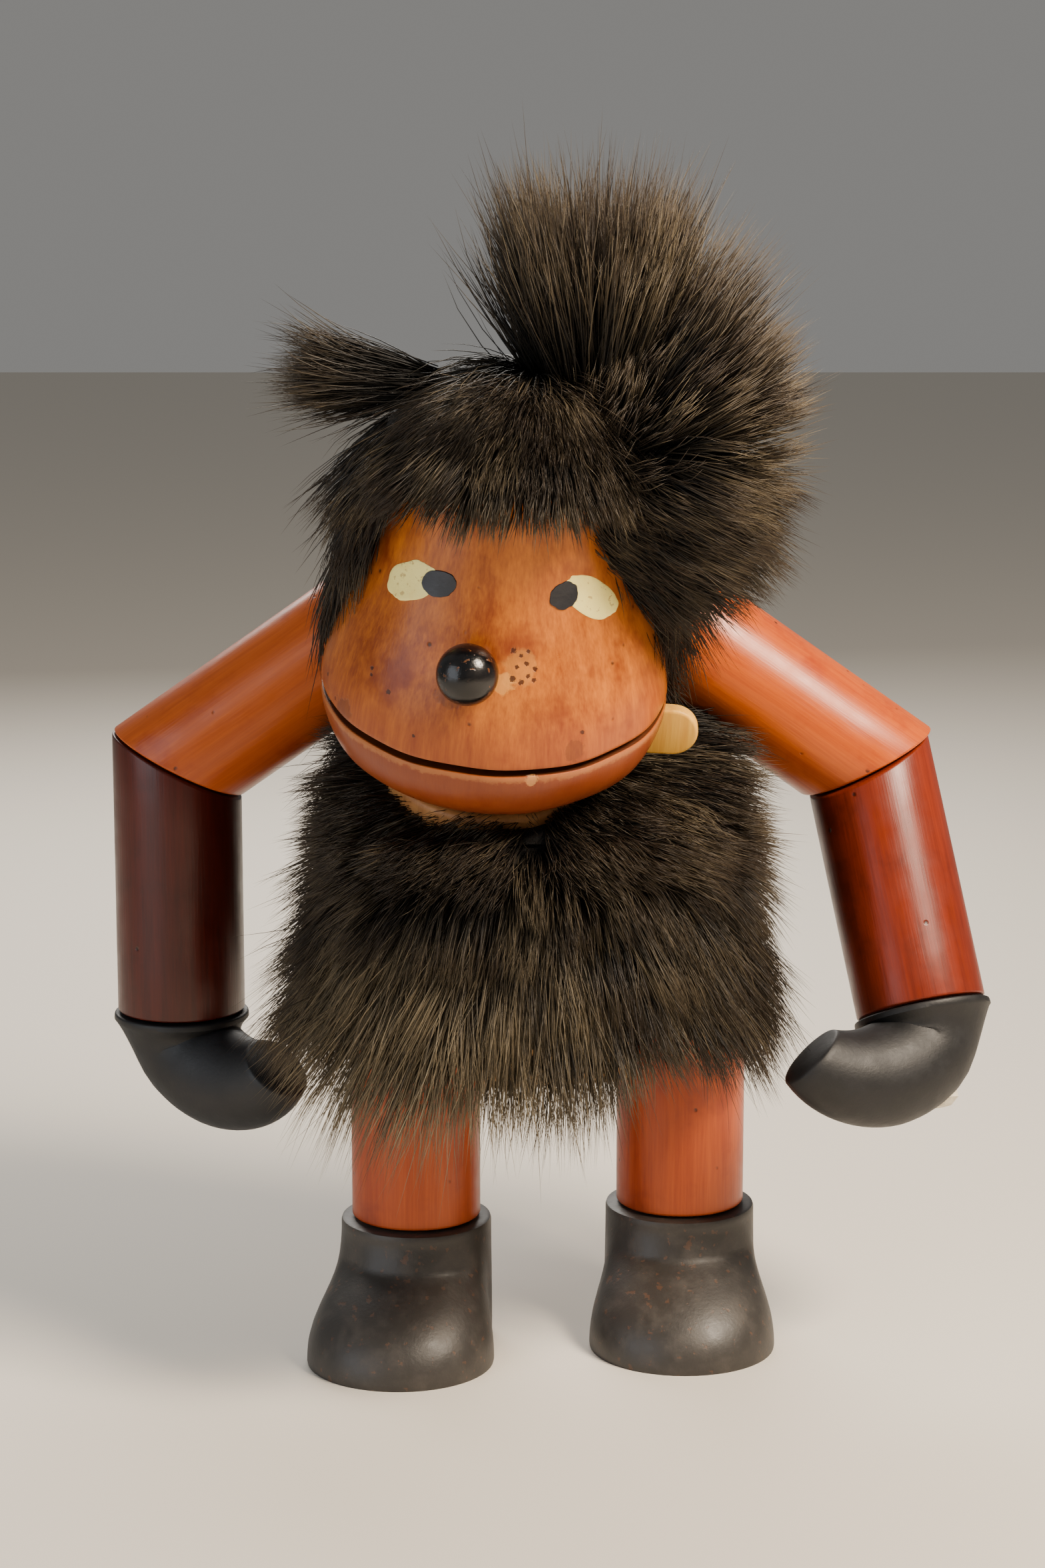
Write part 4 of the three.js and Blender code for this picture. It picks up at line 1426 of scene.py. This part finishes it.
@dataclass
class BodyFur:
    """The pelt: a shaggy band around the barrel, and the back and shoulders behind the head.

    Args:
        shop: Where the pieces go.
        fur: Finish of the hairs.
        skin: Finish of the underfur.
    """

    shop: Workshop
    fur: bpy.types.Material
    skin: bpy.types.Material

    BARREL = (1.5, -6.0)
    BAND_R = 20.0
    BAND_Z = (49.5, 67.5)
    BACK_X = 18.0
    BACK_Y = (2.0, 18.6)
    BACK_Z = (50.0, 98.5)

    def build(self) -> None:
        """Adds the underfur and the hairs."""
        self.shop.add(self._band_skin(), "trunk", self.skin, "fur", "body_fur")
        self.shop.add(self._back_skin(), "trunk", self.skin, "fur")
        for seed, name, patch in (
            (41, "band", self._band_hairs(19000)), (42, "back", self._back_hairs(12500)),
            (43, "chest", self._chest_hairs(8700)), (44, "throat", self._throat_hairs(3600)),
        ):
            Coat(f"fur_body_{name}", "trunk", seed, lock_size=60).grow(patch, self.shop, self.fur)

    def _band_skin(self) -> bpy.types.Object:
        """Returns the underfur round the barrel."""
        low, high = self.BAND_Z
        rows = []
        lower = ((18.9, low), (20.4, low + 0.2), (21, low + 2))
        upper = ((20.6, 62), (19.6, high - 1), (18.9, high))
        for radius, z in lower + upper:
            row = circle(radius, z, 72)
            row[:, :2] += self.BARREL
            rows.append(row)
        for radius, rise in ((19.4, 0.3), (19.0, 1.0), (16.0, 1.6), (11.0, 1.8), (4.0, 1.8)):
            row = circle(radius, high, 72)
            row[:, 2] = self._rim(row[:, 1]) + rise
            row[:, :2] += self.BARREL
            rows.append(row)
        return Shell("fur_skin_band", rows, self.shop.place(Matrix.Identity(4))).build()

    def _rim(self, y: Rows) -> Rows:
        """Returns the height of the skin's rim, which climbs from the front to the shoulders."""
        return self.BAND_Z[1] + np.clip((y + 15) * 0.42, 0, 16)

    def _back_skin(self) -> bpy.types.Object:
        """Returns the underfur behind the shoulders."""
        angle = np.linspace(0, 2 * np.pi, 64, endpoint=False)
        low, high = self.BACK_Z
        rows = []
        for share, z in ((0.9, low), (1, low + 2), (1, 88), (0.97, 93), (0.88, 96.5), (0.6, high)):
            x = np.sign(np.cos(angle)) * np.abs(np.cos(angle)) ** 0.35 * (self.BACK_X - 0.4)
            y = np.sign(np.sin(angle)) * np.abs(np.sin(angle)) ** 0.45
            middle, half = np.mean(self.BACK_Y), np.ptp(self.BACK_Y) / 2
            rows.append(np.stack([x, middle + y * half * share, np.full(64, z)], 1))
        return Shell("fur_skin_back", rows, self.shop.place(Matrix.Identity(4))).build()

    def _band_hairs(self, count: int) -> Patchwork:
        """Returns the hanging hairs round the barrel."""
        rng = np.random.default_rng(51)
        angle = rng.uniform(-115, 115, count)
        a = np.radians(angle)
        normals = np.stack([np.sin(a), -np.cos(a), 0 * a], 1)
        low, high = self.BAND_Z
        z = low + (high - low) * rng.random(count) ** 1.15
        roots = normals * self.BAND_R
        roots[:, :2] += self.BARREL
        roots[:, 2] = z
        hang = np.clip((60 - z) / 10, 0, 1)
        left = np.exp(-(((angle + 22) / 30) ** 2))
        sweep = np.sin(a) * 0.22
        high_up = np.clip((z - 62) / 5, 0, 1)
        wide = 0.3 * np.clip(-a / 1.2, 0, 1)
        combs = np.stack([sweep, 0 * a, -1 + 0.9 * high_up], 1)
        combs += normals * (0.22 - 0.12 * hang + wide + 0.35 * high_up)[:, None]
        shorter = 2.5 * hang * np.exp(-(((angle - 42) / 18) ** 2))
        lengths = 13.5 - 3.0 * high_up + hang * (5.0 + 7.5 * left) - shorter
        tone = 0.16 + 0.5 * np.clip((66 - z) / 12, 0, 1) * np.exp(-(((angle + 18) / 45) ** 2))
        return Patchwork(roots, normals, unit(combs), lengths, np.full(count, 0.5), tone)

    def _back_hairs(self, count: int) -> Patchwork:
        """Returns the hairs down the back and its sides."""
        rng = np.random.default_rng(52)
        low, high = self.BACK_Z
        face = rng.random(count)
        z = rng.uniform(low, high - 2, count)
        x = rng.uniform(-self.BACK_X, self.BACK_X, count)
        y = rng.uniform(self.BACK_Y[0] - 1, self.BACK_Y[1], count)
        one = np.ones(count)
        behind, top = face < 0.42, face > 0.82
        right, left = (face > 0.42) & (face < 0.62), (face > 0.62) & (face < 0.82)
        normals = np.zeros((count, 3))
        normals[behind] = (0, 1, 0)
        normals[right], normals[left] = (1, 0, 0), (-1, 0, 0)
        normals[top] = (0, 0.5, 0.87)
        side = right | left
        z[side] = low + (80 - low) * rng.random(count)[side]
        roots = np.stack([x, y, z], 1)
        roots[behind, 1] = self.BACK_Y[1] - 0.6
        roots[right, 0], roots[left, 0] = self.BACK_X - 0.8, -self.BACK_X + 0.8
        roots[top, 2] = high - 1.2 - 0.16 * np.abs(y[top] - 10.3)
        combs = np.stack([0.35 * x / self.BACK_X, 0.15 * one, -one], 1)
        combs[side] += normals[side] * 0.25 + np.array([0, -0.12, 0])
        combs[top] = np.stack([0.3 * x / self.BACK_X, 1.2 * one, -0.15 * one], 1)[top]
        lengths = np.where(side, 13.0, 10.5) + 5.0 * np.clip((62 - z) / 12, 0, 1) * behind
        lengths = lengths - np.where(top, 2.0, 0.0)
        tone = 0.12 + 0.22 * rng.random(count)
        return Patchwork(roots, normals, unit(combs), lengths, np.where(side, 0.5, 0.4), tone)

    def _throat_hairs(self, count: int) -> Patchwork:
        """Returns the hairs below the jaw."""
        rng = np.random.default_rng(54)
        x = rng.uniform(-self.BACK_X + 0.6, self.BACK_X - 0.6, count)
        z = rng.uniform(67, 96, count)
        one = np.ones(count)
        roots = np.stack([x, 2.2 * one, z], 1)
        combs = np.stack([0.7 * x / self.BACK_X, -0.35 * one, -0.75 * one], 1)
        normals = np.stack([0.3 * x / self.BACK_X, -one, 0 * x], 1)
        tone = 0.05 + 0.12 * rng.random(count)
        return Patchwork(roots, unit(normals), unit(combs), 8.5 * one, 0.5 * one, tone)

    def _chest_hairs(self, count: int) -> Patchwork:
        """Returns the hairs of the chest, up to the rim."""
        rng = np.random.default_rng(53)
        side = np.where(rng.random(count) < 0.45, -1.0, 1.0)
        a = np.radians(rng.uniform(3, 125, count)) * side
        normals = np.stack([np.sin(a), -np.cos(a), 0 * a], 1)
        share = rng.random(count)
        radius = 19.3 - 28.0 * np.clip(share - 0.5, 0, 0.5)
        rim = self._rim(-np.cos(a) * radius) + 1.5
        roots = normals * radius[:, None]
        roots[:, :2] += self.BARREL
        roots[:, 2] = 64 + (rim - 64) * np.minimum(share / 0.5, 1)
        combs = normals * 0.75 + np.stack([0.3 * side, -0.1 + 0 * a, -0.25 - 0.2 * rng.random(count)], 1)
        normals = unit(normals + np.array([0, 0, 0.5]))
        return Patchwork(roots, normals, unit(combs), np.full(count, 10.5), np.full(count, 0.45),
                         0.06 + 0.15 * rng.random(count))


# ---------------------------------------------------------------- studio


@dataclass
class Studio:
    """Pale floor, soft lights and the camera.

    Args:
        figure: The figure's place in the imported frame.
    """

    figure: Figure

    CAMERA = (0.0, -425.0, 152.6)
    AIM = (0.0, 0.9816, -0.1908)
    LENS = 80.9

    def build(self) -> None:
        """Adds the floor, the world, the lights and the camera."""
        self._floor()
        self._world()
        self._light("key", (230, -170, 340), 130, 4.2, (1.0, 0.84, 0.66))
        self._light("fill", (-320, -260, 160), 300, 0.7, (0.86, 0.92, 1.0))
        self._light("rim", (-60, 330, 300), 260, 1.7, (1.0, 0.95, 0.88))
        camera = bpy.data.cameras.new("camera")
        camera.sensor_fit = "VERTICAL"
        camera.sensor_height = 36
        camera.sensor_width = 36
        camera.lens = self.LENS
        camera.clip_start = 0.01
        made = bpy.data.objects.new("camera", camera)
        made.location = self.figure.at(*self.CAMERA)
        made.rotation_euler = Vector(self.AIM).to_track_quat("-Z", "Y").to_euler()
        bpy.context.scene.collection.objects.link(made)
        bpy.context.scene.camera = made

    def _floor(self) -> None:
        """Adds the floor."""
        mesh = bmesh.new()
        bmesh.ops.create_grid(mesh, x_segments=1, y_segments=1, size=1.6)
        data = bpy.data.meshes.new("floor")
        mesh.to_mesh(data)
        mesh.free()
        floor = bpy.data.objects.new("floor", data)
        bpy.context.scene.collection.objects.link(floor)
        material, g, shader = principled("floor_paper")
        feed_all(g, shader, {"Base Color": rgb(214, 208, 198), "Roughness": 0.8})
        data.materials.append(material)

    @staticmethod
    def _world() -> None:
        """Sets the soft light all round."""
        world = bpy.data.worlds.new("studio_world")
        world.use_nodes = True
        back = world.node_tree.nodes["Background"]
        back.inputs["Color"].default_value = rgb(226, 224, 220)
        back.inputs["Strength"].default_value = 0.3
        bpy.context.scene.world = world

    def _light(self, name: str, at: tuple, size: float, power: float, colour: tuple) -> None:
        """Adds one area light that faces the figure."""
        light = bpy.data.lights.new(name, "AREA")
        light.size = size * MM
        light.energy = power
        light.color = colour
        made = bpy.data.objects.new(name, light)
        made.location = self.figure.at(*at)
        towards = self.figure.at(0, 0, 75) - made.location
        made.rotation_euler = towards.to_track_quat("-Z", "Y").to_euler()
        bpy.context.scene.collection.objects.link(made)


# ---------------------------------------------------------------- the whole figure


def finish_inner_parts(frame: dict, shop: Workshop) -> None:
    """Gives the CAD nodes that stay in view their finishes: the trunk, elastics, pegs and the hip pin."""
    for name, node in frame["nodes"].items():
        if node.hide_render:
            continue
        if name.startswith("elastic"):
            material, slot = shop.finish(CORD), "elastic"
        elif name == "hip_pin":
            material, slot = steel_finish(), "steel"
        else:
            material, slot = shop.finish(PLAIN), "raw_wood"
        node.data.materials.clear()
        node.data.materials.append(material)


def main() -> None:
    """Builds the figure and its studio."""
    logging.basicConfig(level=logging.INFO, format="%(name)s %(message)s")
    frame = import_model()
    figure = Figure(frame)
    shop = Workshop(figure)
    Head(shop).build()
    for side in Side:
        Arm(shop, side).build()
        Leg(shop, side).build()
    LOG.info("wooden pieces built")
    fur, skin = fur_finish(), skin_finish()
    HeadFur(shop, fur, skin).build()
    BodyFur(shop, fur, skin).build()
    LOG.info("fur grown")
    finish_inner_parts(frame, shop)
    Studio(figure).build()


if __name__ == "__main__":
    main()
